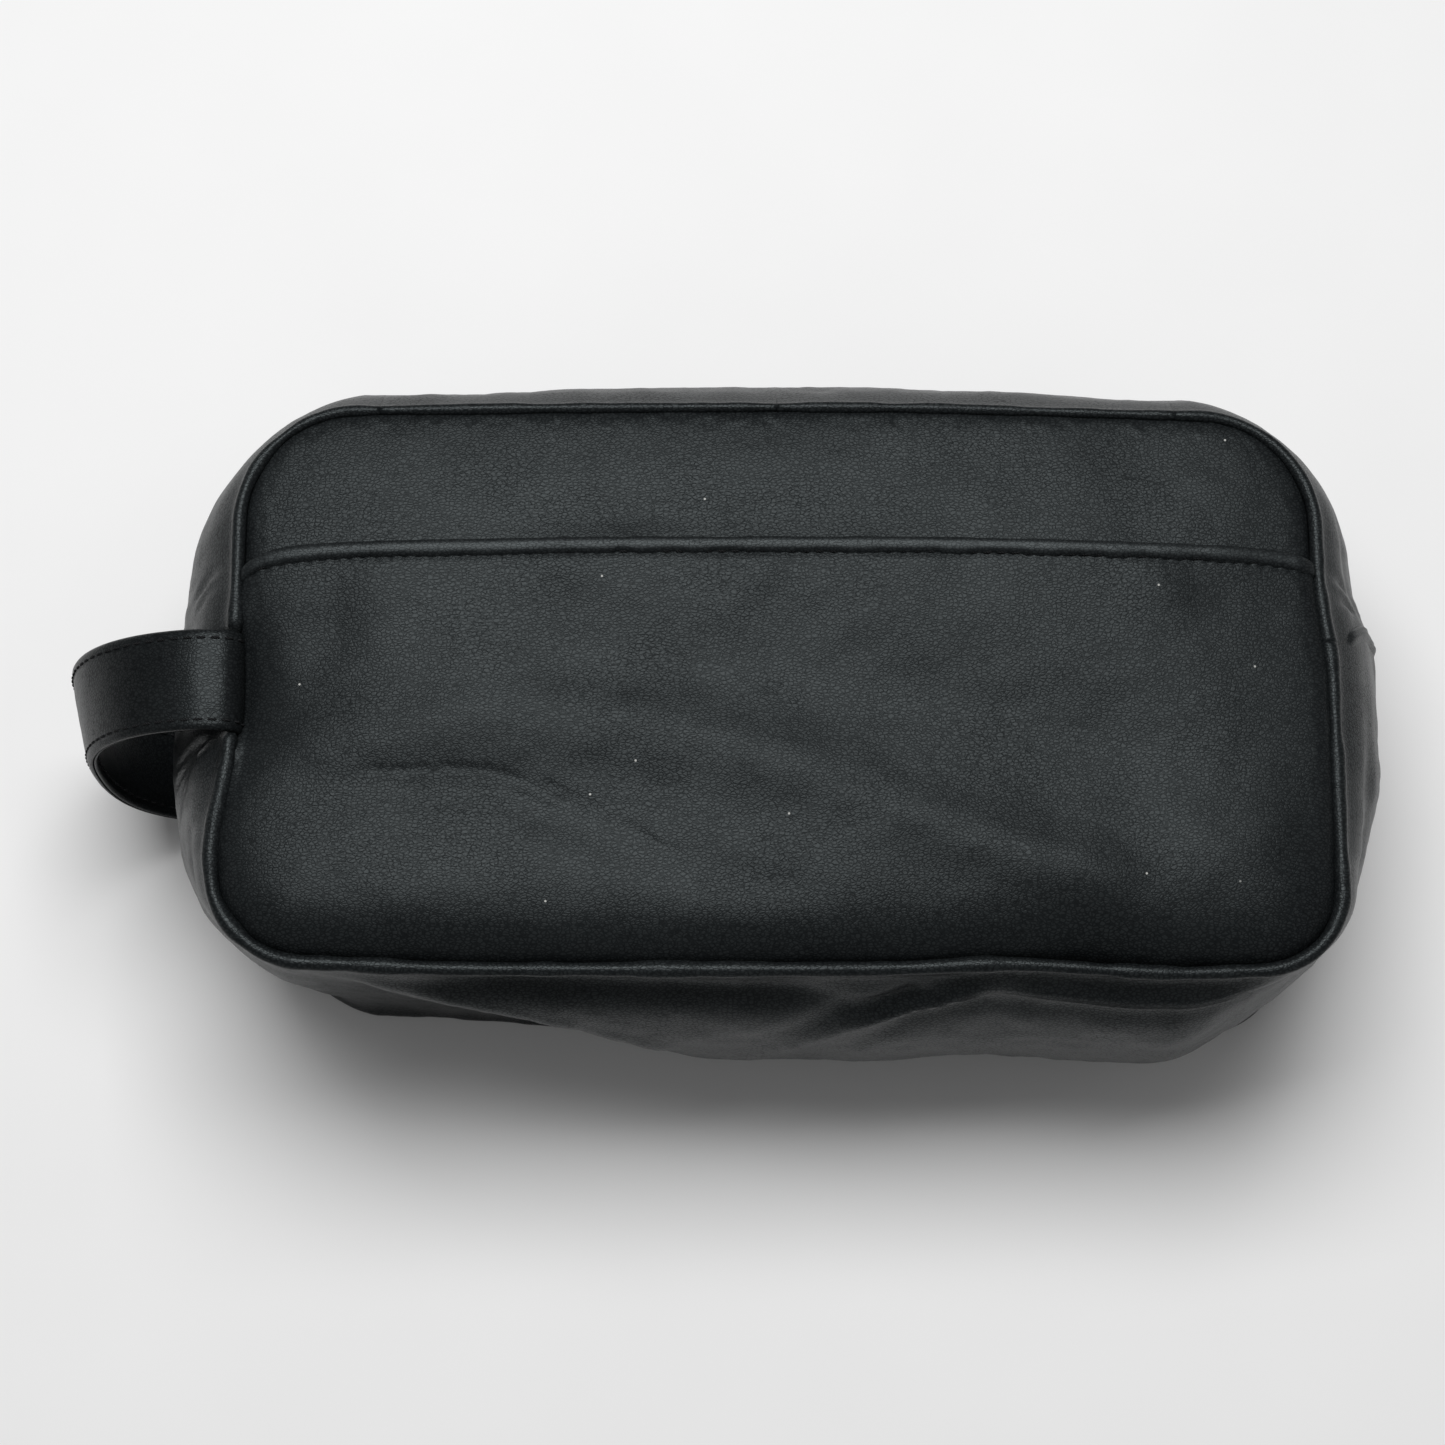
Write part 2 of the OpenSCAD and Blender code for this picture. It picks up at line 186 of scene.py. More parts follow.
# ---- mesh making


def make_object(name, points, faces, materials, face_slots=None):
    """A smooth-shaded mesh object from points in millimetres."""
    mesh = bpy.data.meshes.new(name)
    mesh.from_pydata((np.asarray(points) * MM).tolist(), [], faces)
    mesh.update()
    for material in materials:
        mesh.materials.append(material)
    mesh.polygons.foreach_set("use_smooth", [True] * len(mesh.polygons))
    if face_slots is not None:
        mesh.polygons.foreach_set("material_index", face_slots)
    piece = bpy.data.objects.new(name, mesh)
    bpy.context.scene.collection.objects.link(piece)
    return piece


def grid_normals(grid):
    along = np.gradient(grid, axis=0)
    across = np.gradient(grid, axis=1)
    normal = np.cross(along, across)
    return normal / np.maximum(np.linalg.norm(normal, axis=2, keepdims=True), 1e-9)


def grid_faces(rows, columns, start, flip):
    i, j = np.meshgrid(np.arange(rows - 1), np.arange(columns - 1), indexing="ij")
    a = start + i * columns + j
    corners = [a, a + columns, a + columns + 1, a + 1]
    if flip:
        corners = corners[::-1]
    return np.stack([c.ravel() for c in corners], axis=1)


def sheet_piece(name, grid, thickness, materials, flip=False):
    """A closed sheet: the grid is its outer face and the inner face lies a thickness behind it."""
    rows, columns = grid.shape[:2]
    normal = grid_normals(grid) * (-1 if flip else 1)
    inner = grid - normal * thickness
    count = rows * columns
    faces = [grid_faces(rows, columns, 0, flip), grid_faces(rows, columns, count, not flip)]
    index = np.arange(count).reshape(rows, columns)
    rim = np.concatenate([index[0, :], index[1:, -1], index[-1, -2::-1], index[-2:0:-1, 0]])
    ahead = np.roll(rim, -1)
    side = np.stack([rim, ahead, ahead + count, rim + count], axis=1)
    if flip:
        side = side[:, ::-1]
    faces.append(side)
    slots = np.concatenate([np.zeros(len(faces[0]), int), np.full(len(faces[1]), len(materials) - 1),
                            np.zeros(len(side), int)])
    points = np.concatenate([grid.reshape(-1, 3), inner.reshape(-1, 3)])
    piece = make_object(name, points, np.concatenate(faces).tolist(), materials, slots.tolist())
    rounded = np.ones(len(slots), bool)
    rounded[-len(side):] = False
    piece.data.polygons.foreach_set("use_smooth", rounded.tolist())
    return piece


def tube_points(path, radius, sides, flat=1.0, lift=(0, 0, 1)):
    """Rings of a tube along a path, with round ends that close to a point."""
    path = np.asarray(path, float)
    tangent = np.gradient(path, axis=0)
    tangent /= np.linalg.norm(tangent, axis=1, keepdims=True)
    up = np.asarray(lift, float)
    if up.ndim == 1:
        up = np.broadcast_to(up, path.shape)
    side = np.cross(tangent, up)
    side /= np.maximum(np.linalg.norm(side, axis=1, keepdims=True), 1e-9)
    up = np.cross(side, tangent)
    radius = np.broadcast_to(np.asarray(radius, float), (len(path),))
    angle = np.linspace(0, 2 * math.pi, sides, endpoint=False)
    return (path[:, None, :] + radius[:, None, None] * (
        np.cos(angle)[None, :, None] * side[:, None, :]
        + flat * np.sin(angle)[None, :, None] * up[:, None, :]))


def tube_faces(rings, sides, start):
    faces = []
    for i in range(rings - 1):
        for j in range(sides):
            k = (j + 1) % sides
            faces.append([start + i * sides + j, start + i * sides + k,
                          start + (i + 1) * sides + k, start + (i + 1) * sides + j])
    faces.append([start + j for j in range(sides)][::-1])
    faces.append([start + (rings - 1) * sides + j for j in range(sides)])
    return faces


STITCH_R = 0.3
STITCH_SINK = 0.28
STITCH_HALF = 0.39                               # half a stitch, as a share of the pitch
STITCH_SIDES = 7


def stitch_row(name, path, normals):
    """Separate stitches along a path: each is a short thread that dips into the leather at both ends."""
    path, normals = np.asarray(path, float), np.asarray(normals, float)
    length = places_along(path)
    count = int(length[-1] // STITCH)
    share = np.linspace(-STITCH_HALF, STITCH_HALF, 6)
    dip = STITCH_R * 0.55 - (np.abs(share) / STITCH_HALF) ** 4 * (STITCH_R + STITCH_SINK)
    thick = STITCH_R * np.array([0.55, 0.95, 1, 1, 0.95, 0.55])
    points, faces = [], []
    for i in range(count):
        at = (i + 0.5) * length[-1] / count + share * STITCH
        spine = np.stack([np.interp(at, length, path[:, k]) for k in range(3)], axis=1)
        up = np.stack([np.interp(at, length, normals[:, k]) for k in range(3)], axis=1)
        up /= np.linalg.norm(up, axis=1, keepdims=True)
        rings = tube_points(spine + up * dip[:, None], thick, STITCH_SIDES, 0.85, up)
        faces += tube_faces(len(rings), STITCH_SIDES, len(points) * len(rings) * STITCH_SIDES)
        points.append(rings.reshape(-1, 3))
    return make_object(name, np.concatenate(points), faces, [THREAD])


def finish_piece(piece, body, slot, *replaced):
    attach(piece, body)
    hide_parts(*replaced)


def shell_leather(name, grid, *replaced, thickness=LEATHER, skins=None, flip=False):
    """A leather part of the shell, with the skins of its outer and inner face."""
    piece = sheet_piece(name, grid, thickness, skins or [LEATHER_WALL, LEATHER_BACK], flip)
    finish_piece(piece, "shell", "leather", *replaced)


def shell_lining(name, grid, replaced, thickness=CLOTH, flip=False):
    piece = sheet_piece(name, grid, thickness, [LINING], flip)
    finish_piece(piece, "shell", "lining", replaced)


# ---- the seams' outline


def arc_run(middle, radius, first, last, step):
    """Points and outward directions round a corner, angles in degrees."""
    count = max(int(abs(math.radians(last - first)) * radius / step), 8)
    angle = np.radians(np.linspace(first, last, count + 1))
    out = np.stack([np.cos(angle), np.sin(angle)], axis=1)
    return np.asarray(middle) + radius * out, out


def straight_run(first, last, out, step):
    first, last = np.asarray(first, float), np.asarray(last, float)
    count = max(int(np.linalg.norm(last - first) / step), 2)
    share = np.linspace(0, 1, count + 1)[:, None]
    return first + (last - first) * share, np.broadcast_to(np.asarray(out, float), (count + 1, 2))


def join_runs(runs, start):
    """One path from several runs. Its places are measured along the seam from the middle of the zip."""
    points = np.concatenate([runs[0][0]] + [p[1:] for p, _ in runs[1:]])
    out = np.concatenate([runs[0][1]] + [n[1:] for _, n in runs[1:]])
    return points, out, start + places_along(points)


def base_path(step):
    """The seam from the right cross seam, round the base, to the left cross seam."""
    x, y = HALF_W - BASE_R, BASE_R - HALF_H
    return join_runs([
        straight_run((HALF_W, CROSS_Y), (HALF_W, y), (1, 0), step),
        arc_run((x, y), BASE_R, 0, -90, step),
        straight_run((x, -HALF_H), (-x, -HALF_H), (0, -1), step),
        arc_run((-x, y), BASE_R, -90, -180, step),
        straight_run((-HALF_W, y), (-HALF_W, CROSS_Y), (-1, 0), step)], ZIP_END + END_RUN)


def end_path(step):
    """The seam from where the zip ends at the right, round the top corner, to the right cross seam."""
    x, y = HALF_W - TOP_R, HALF_H - TOP_R
    return join_runs([
        straight_run((ZIP_END, HALF_H), (x, HALF_H), (0, 1), step),
        arc_run((x, y), TOP_R, 90, 0, step),
        straight_run((HALF_W, y), (HALF_W, CROSS_Y), (1, 0), step)], ZIP_END)


def top_path(step):
    """The seam beside the zip, from its middle to its right end."""
    return join_runs([straight_run((0, HALF_H), (ZIP_END, HALF_H), (0, 1), step)], 0.0)


# ---- how the shell sags

BASE_WAVES = ((-112, 25, 1.6), (50, 18, 1.2), (90, 16, -0.9))


def sway(points):
    """The whole shell leans a little off true: the zip side bows and the ends are not quite square."""
    x, y, z = points[..., 0], points[..., 1], points[..., 2]
    moved = points.copy()
    zip_side, base_side = smooth(y, -20, HALF_H), smooth(-y, 0, HALF_H)
    left, right = smooth(-x, 60, HALF_W), smooth(x, 60, HALF_W)
    beyond_end = smooth(x, HALF_W + 2, HALF_W + 15)
    towards_back = smooth(MID_Z - z, -10, 45)
    moved[..., 1] += (1.3 * (1 - (x / 120) ** 2) + 1.5 - 1.3 * smooth(x, 20, 100)) * zip_side
    moved[..., 1] += humps(x, BASE_WAVES) * base_side
    moved[..., 1] += 3.2 * base_side * smooth(-x, 10, 90) * towards_back
    moved[..., 0] -= 3.7 * bump(y, -40, 18) * left
    moved[..., 0] += 9.0 * left * base_side ** 2 * towards_back
    moved[..., 0] += 2.4 * smooth(-y, -30, 0) * right
    moved[..., 1] += 7.6 * bump(y, CROSS_Y, 14) * beyond_end
    return moved


def crease(a, h, start, end, width, depth):
    """A fold line on the wall, from one (place, depth) to another, that fades at both ends."""
    (a0, h0), (a1, h1) = start, end
    da, dh = a1 - a0, h1 - h0
    length = math.hypot(da, dh)
    along = ((a - a0) * da + (h - h0) * dh) / length
    off = ((a - a0) * dh - (h - h0) * da) / length
    fade = smooth(along, -0.15 * length, 0.25 * length) * (1 - smooth(along, 0.7 * length, 1.15 * length))
    return depth * np.exp(-((off / width) ** 2)) * fade


def full_shape(tau):
    return np.sin(np.pi * np.clip(tau, 0, 1) ** 0.93) ** 0.78


# The base wall's section changes along x. Crest and ridge are places across it, as a share of its depth.
FOLD_X = [-112, -95, -52, -20, 0]
FOLD_CREST = [0.045, 0.075, 0.24, 0.42, 0.5]
FOLD_CREST_OUT = [-1.0, 1.0, 8.0, 12.0, 12.0]
FOLD_VALLEY_OUT = [-1.5, -2.0, 1.0, 9.0, 9.0]
FOLD_LOW_OUT = [-0.8, -1.0, 1.6, 8.0, 8.0]
FOLD_LOW = 0.75
RIDGE_X = [-4, 6, 15, 31, 47, 51, 59, 76, 100, 112]
RIDGE = [0.45, 0.3, 0.2, 0.1, 0.05, 0.045, 0.053, 0.06, 0.056, 0.045]


def folded_section(place, tau):
    """The base wall where it is folded in on itself."""
    rows = (FOLD_CREST, FOLD_CREST_OUT, FOLD_VALLEY_OUT, FOLD_LOW_OUT)
    crest, crest_out, valley_out, low_out = [float(np.interp(place, FOLD_X, row)) for row in rows]
    valley = crest + (FOLD_LOW - crest) * 0.48
    ridge = 0.9 * bump(tau, crest, 0.035)
    return curve_through([0, crest, valley, FOLD_LOW, 1], [0, crest_out, valley_out, low_out, 0], tau) + ridge


def base_shape(x, tau):
    """How far the base wall stands out: full at the right, folded in on itself at the left."""
    out = np.zeros((len(x), len(tau)))
    for i, place in enumerate(x):
        fold = float(smooth(-place, 2, 62))
        full = BASE_BULGE * full_shape(tau) * (1 - 0.72 * float(smooth(place, 90, 114)))
        under_roll = 3.6 * float(smooth(place, -95, -62) * (1 - smooth(place, 0, 22)))
        out[i] = full * (1 - fold) + folded_section(place, tau) * fold - under_roll * bump(tau, 0.07, 0.055)
    return out


def base_ridge(x, tau):
    """The raised fold that runs beside the base seam at the right and turns down at the middle."""
    line = np.interp(x, RIDGE_X, RIDGE)[:, None]
    height = ((0.35 + 0.65 * smooth(x, 0, 40)) * smooth(x, -12, 14) * (1 - smooth(x, 108, 122)))[:, None]
    wide = (1 + 2.6 * (1 - smooth(x, -6, 34)))[:, None]
    above = 2.3 * bump(tau, line - 0.036 * wide, 0.019 * wide)
    below = 1.2 * bump(tau, line + 0.065 * wide, 0.045 * wide)
    return height * (2.2 * bump(tau, line, 0.021 * wide) - above - below)


# Fold lines on the end walls: start and end as (height on the bag, depth from the front), width, depth.
LEFT_FOLDS = [((-10.5, 3), (tip, 24), 1.0, -1.2) for tip in (-27, -22, -18, -14)]
LEFT_FOLDS += [((30, 2), (25, 15), 1.2, -1.5), ((27, 2), (21, 12), 1.0, -0.8),
               ((-30, 6), (-52, 16), 2.6, -1.0)]
RIGHT_FOLDS = [((29, 1), (23, 13), 1.2, -1.8), ((25, 1), (17, 11), 1.0, -1.3),
               ((44, 9), (10, 20), 3.2, -1.0), ((-8, 9), (-46, 15), 3.4, -1.1)]


def wall_wrinkles(y, out, place, h):
    """Folds and puckers of the side wall. place runs along the seam and h down from the front seam."""
    place, up, side = place[:, None], y[:, None], out[:, 0][:, None]
    total = 0.55 * fractal(place / 21 + 3, h / 17, 11) + 0.16 * fractal(place / 5.5, h / 12, 12)
    for edge, seed in ((h, 13), (WALL_RUN - h, 14)):
        beside = np.exp(-np.clip(edge, 0, None) / 5.0)
        total += 0.34 * beside * value_noise(place / 2.4, edge / 9, seed)
    ends = smooth(np.abs(side), 0.75, 0.98)
    total += ends * 0.38 * value_noise(place / 3.6 + h / 26, h / 15, 15) * np.exp(-h / 26)
    for at_end, folds in ((ends * (side < 0), LEFT_FOLDS), (ends * (side > 0), RIGHT_FOLDS)):
        for fold in folds:
            total += at_end * crease(up, h, *fold)
    return total


def wall_bulge(path, out, place, tau):
    """How far the wall stands out from the seam, for each place along it and each share of its depth."""
    x, y = path[:, 0], path[:, 1]
    tucked = np.where(x > 0, 0.15 + 0.82 * smooth(-y, 12, 68), smooth(-y, 8, 66)) + 0.2 * smooth(y, 5, 45)
    ends = END_BULGE * full_shape(tau)[None, :] * (1 - tucked)[:, None]
    top = TOP_BULGE * full_shape(tau)[None, :] * (1 - 0.08 * smooth(np.abs(x), 50, 92))[:, None]
    base = base_shape(x, tau) + base_ridge(x, tau[None, :])
    share = smooth(np.abs(out[:, 1]), 0.02, 0.98)[:, None]
    upper = (out[:, 1] >= 0)[:, None]
    corner = 2 * np.abs(out[:, 0] * out[:, 1])[:, None]
    drawn_in = np.where(upper, 0.3, np.where(x[:, None] > 0, 0.75, 0.9))
    bulge = (ends * (1 - share) + np.where(upper, top, base) * share) * (1 - drawn_in * corner)
    return bulge + wall_wrinkles(y, out, place, tau[None, :] * WALL_RUN) * full_shape(tau)[None, :] ** 0.5


def neck_out(out):
    """How far the wall stands out where it leaves its rolled edge: least along the base."""
    beside_zip_and_ends = 1 - smooth(-out[:, 1], 0.3, 0.9)
    at_ends = 1 - smooth(np.abs(out[:, 1]), 0.1, 0.9)
    return (NECK + beside_zip_and_ends + 1.3 * at_ends)[:, None]


def roll_sweep(path, centre_z, angles, place, seed):
    """Offsets and heights round the rolled edge, uneven along the seam and thinner beside the zip."""
    x, y = path[:, 0], path[:, 1]
    pressed = (x < 0) * (1 - smooth(np.abs(y - STRAP_ROOT_Y), STRAP_W / 2 - 1.5, STRAP_W / 2 + 1.5))
    radius = ROLL_R * (1 + 0.16 * fractal(place / 9, 0, seed, 2))
    radius = (radius * (1 - 0.34 * smooth(y, 35, 62)) * (1 - 0.55 * pressed))[:, None]
    middle = centre_z - (1.2 * pressed * np.sign(centre_z - MID_Z))[:, None]
    turn = np.radians(angles)[None, :]
    roll_out = (ROLL_OUT * (1 - 0.6 * smooth(y, 35, 62)))[:, None]
    return roll_out + radius * np.cos(turn), middle + radius * np.sin(turn)


def soften(values, middle):
    """Rounds the joint between a roll and the wall, which lies at one column."""
    first, last = middle - 4, middle + 5
    for _ in range(8):
        beside = values[:, first - 1:last - 1] + values[:, first + 1:last + 1]
        values[:, first:last] = (beside + 2 * values[:, first:last]) / 4


def wall_grid(run, first_tau=0.0, last_tau=1.0, front_roll=True, back_roll=True, samples=74, inset=0.0):
    """Outer face of the side wall along a run: front roll, wall, back roll."""
    path, out, place = run
    tau = np.unique(np.clip(np.linspace(0, 1, samples), first_tau, last_tau))
    bulge = wall_bulge(path, out, place, tau) + neck_out(out) - inset
    offsets, heights = [bulge], [np.broadcast_to(WALL_TOP - tau * WALL_RUN, bulge.shape)]
    if front_roll:
        roll_offset, roll_height = roll_sweep(path, FRONT_ROLL_Z, ROLL_TURNS, place, 21)
        offsets.insert(0, roll_offset)
        heights.insert(0, roll_height)
    if back_roll:
        roll_offset, roll_height = roll_sweep(path, BACK_ROLL_Z, -ROLL_TURNS[::-1], place, 22)
        offsets.append(roll_offset)
        heights.append(roll_height)
    offset, height = np.concatenate(offsets, axis=1), np.concatenate(heights, axis=1)
    joints = [len(ROLL_TURNS)] * front_roll + [offset.shape[1] - len(ROLL_TURNS)] * back_roll
    for joint in joints:
        soften(offset, joint)
        soften(height, joint)
    flat = path[:, None, :] + out[:, None, :] * offset[..., None]
    return sway(np.concatenate([flat, height[..., None]], axis=2))


def lining_grid(run, first_tau=0.02, last_tau=0.98):
    """Outer face of the lining, behind the wall's leather and without rolls."""
    return wall_grid(run, first_tau, last_tau, False, False, 34, LINING_GAP)


def as_is(path, out, place):
    return path, out, place


def mirrored(path, out, place):
    """The same run at the other end, still clockwise."""
    flip = np.array([-1, 1])
    return path[::-1] * flip, out[::-1] * flip, -place[::-1]


# ---- the flat panels

FRONT_FACE = FRONT_Z + 0.5


def edge_distance(x, y):
    """How far a point lies inside the seams' outline."""
    radius = np.where(y > 0, TOP_R, BASE_R)
    qx, qy = np.abs(x) - (HALF_W - radius), np.abs(y) - (HALF_H - radius)
    outside = np.hypot(np.maximum(qx, 0), np.maximum(qy, 0))
    return radius - outside - np.minimum(np.maximum(qx, qy), 0)


def spread(count, pull):
    """Places from -1 to 1, closer together near both ends."""
    t = np.linspace(-1, 1, count)
    return t * (1 + pull) - pull * t ** 3


def panel_rows(high_y, inset, step):
    """Heights of the rows of a panel and the half width of each."""
    base_y, top_y = BASE_R - HALF_H, HALF_H - TOP_R
    turn = np.radians(np.linspace(90, 0, 26)[:-1])
    low = base_y - (BASE_R - inset) * np.sin(turn)
    low_w = HALF_W - BASE_R + (BASE_R - inset) * np.cos(turn)
    straight = np.linspace(base_y, top_y, int((top_y - base_y) / step) + 1)
    turn = np.radians(np.linspace(0, 90, 34)[1:])
    high = top_y + (TOP_R - inset) * np.sin(turn)
    high_w = HALF_W - TOP_R + (TOP_R - inset) * np.cos(turn)
    y = np.concatenate([low, straight, high])
    w = np.concatenate([low_w, np.full(len(straight), HALF_W - inset), high_w])
    if high_y > HALF_H - inset:
        return y, w
    keep = y < high_y
    return np.append(y[keep], high_y), np.append(w[keep], np.interp(high_y, y, w))


def ridge_height(x, y, places, heights, width, height):
    """A soft ridge along a line given as x and y places."""
    middle = np.interp(x, places, heights)
    fade = smooth(x, places[0] - 12, places[0] + 12) * (1 - smooth(x, places[-1] - 14, places[-1] + 10))
    return height * fade * bump(y, middle, width)


# Long folds across the front: x places, y places, width, height.
RIDGE_FOLD = ([-112, -63, -31, -4, 28, 56, 80], [-13, -7, -10.5, -17.5, -29.5, -41, -47], 9.5, 1.0)
VALLEY_FOLD = ([-100, -64, -50, -36, -20, 10], [-25, -25, -31, -38, -44, -50], 6.5, -0.6)
UPPER_FOLD = ([-60, 0, 40, 90], [8, 4, -6, -16], 12, -1.1)
# Round rises and dents: x, y, half sizes, height. Only the inner ones fade towards the seams.
MOUTH_RISES = ((-6, 26, 8, 5.5, 0.55), (34, 26, 8, 5.5, 0.55), (90, 21, 8, 5.5, 0.7), (-52, 27, 8, 5.5, 0.3),
               (-20, 39, 45, 5, -0.6))
INNER_RISES = ((-104, 12, 9, 16, -1.0), (104, -38, 15, 12, 1.0))
BASE_DENTS = ((71, 10, 3.5), (92, 12, 1.7))
HOLLOW_X = -122                                  # where the strap pulls the front in the most


def strap_hollow(x, y, d):
    """The strap's root pulls the front's left edge in. The seam itself stays up beyond the strap."""
    hollow = 5.2 * np.exp(-np.clip(x - HOLLOW_X, 0, None) / 9.5) * bump(y, -3, 20)
    beyond_strap = smooth(np.abs(y - STRAP_ROOT_Y), 9, 17)
    return hollow * (1 - beyond_strap * np.exp(-d / 1.8))


def front_face(x, y):
    """Height of the front over the panel: a low crown, pulled down at the seams, with dents and folds."""
    d = np.clip(edge_distance(x, y), PANEL_IN, None) - PANEL_IN
    inner = 1 - np.exp(-d / 7)
    beside_base = smooth(-y, 20, 60)
    turned_down = 2.8 - 1.5 * smooth(y, 40, 62)
    height = FRONT_FACE + 2.3 * (1 - np.exp(-d / 20)) - turned_down * np.exp(-d / 1.5)
    height += beside_base * (2.6 * (1 - np.exp(-d / 7.0)) - 2.5 * np.exp(-d / 6.5))
    height += inner * ridge_height(x, y, *RIDGE_FOLD) * (0.9 + 0.6 * smooth(x, -50, 0))
    height += inner * ridge_height(x, y, *VALLEY_FOLD)
    height += inner * ridge_height(x, y, *UPPER_FOLD)
    height -= strap_hollow(x, y, d)
    height -= humps(x, BASE_DENTS) * beside_base * np.exp(-d / 7.5)
    height += mounds(x, y, MOUTH_RISES) + mounds(x, y, INNER_RISES) * inner
    height += 0.34 * fractal(x / 34 + 7, y / 26 + 2, 31) * inner
    height += 0.06 * fractal(x / 9, y / 8, 32) * inner
    pucker = np.exp(-d / 3.2) * (1 - np.exp(-d / 0.6))
    return height + 0.3 * pucker * value_noise((x + y) / 2.8, (x - y) / 2.8, 33)


# Fine cracked creases: x places, y places, depth.
CRACKS = (([-98, -80, -63, -50, -36, -20], [-21.5, -20, -21, -27, -34, -41.5], 0.42),
          ([-92, -74, -58, -47], [-24, -25, -27, -32], 0.26),
          ([-60, -52, -42, -30, -24], [-20.5, -24, -29, -35.5, -40], 0.34))


def crease_lines(x, y):
    """Fine cracked creases where the front has been folded."""
    wander = 0.7 * value_noise(x / 4.2, 0.5, 41) + 0.35 * value_noise(x / 1.6, 2.5, 42)
    broken = 0.42 + 0.3 * value_noise(x / 2.6, y / 2.2, 43)
    total = 0
    for places, heights, depth in CRACKS:
        middle = np.interp(x, places, heights) + wander
        fade = smooth(x, places[0], places[0] + 8) * (1 - smooth(x, places[-1] - 8, places[-1]))
        total -= depth * fade * broken * bump(y, middle, 0.8)
    return total


def mouth_line(x):
    """Height of the pocket's mouth: it dips where it meets the end seams."""
    return (MOUTH_Y - 0.4 + 1.0 * (1 - (x / 120) ** 2) - 4.6 * np.exp((-HALF_W - x) / 5.5)
            - 2.6 * np.exp((x - HALF_W) / 6.5))


def panel_grid(inset, step, height, high_y=HALF_H, top_line=None):
    """Face of a panel as rows from the base up. top_line bends the upper rows to follow it."""
    rows, widths = panel_rows(high_y, inset, step)
    x = spread(int(2 * HALF_W / step), 0.28)[None, :] * widths[:, None]
    y = np.broadcast_to(rows[:, None], x.shape).copy()
    if top_line is not None:
        y += (top_line(x) - high_y) * smooth(y, 20 - HALF_H, high_y)
    return sway(np.stack([x, y, height(x, y)], axis=2))


# ---- materials


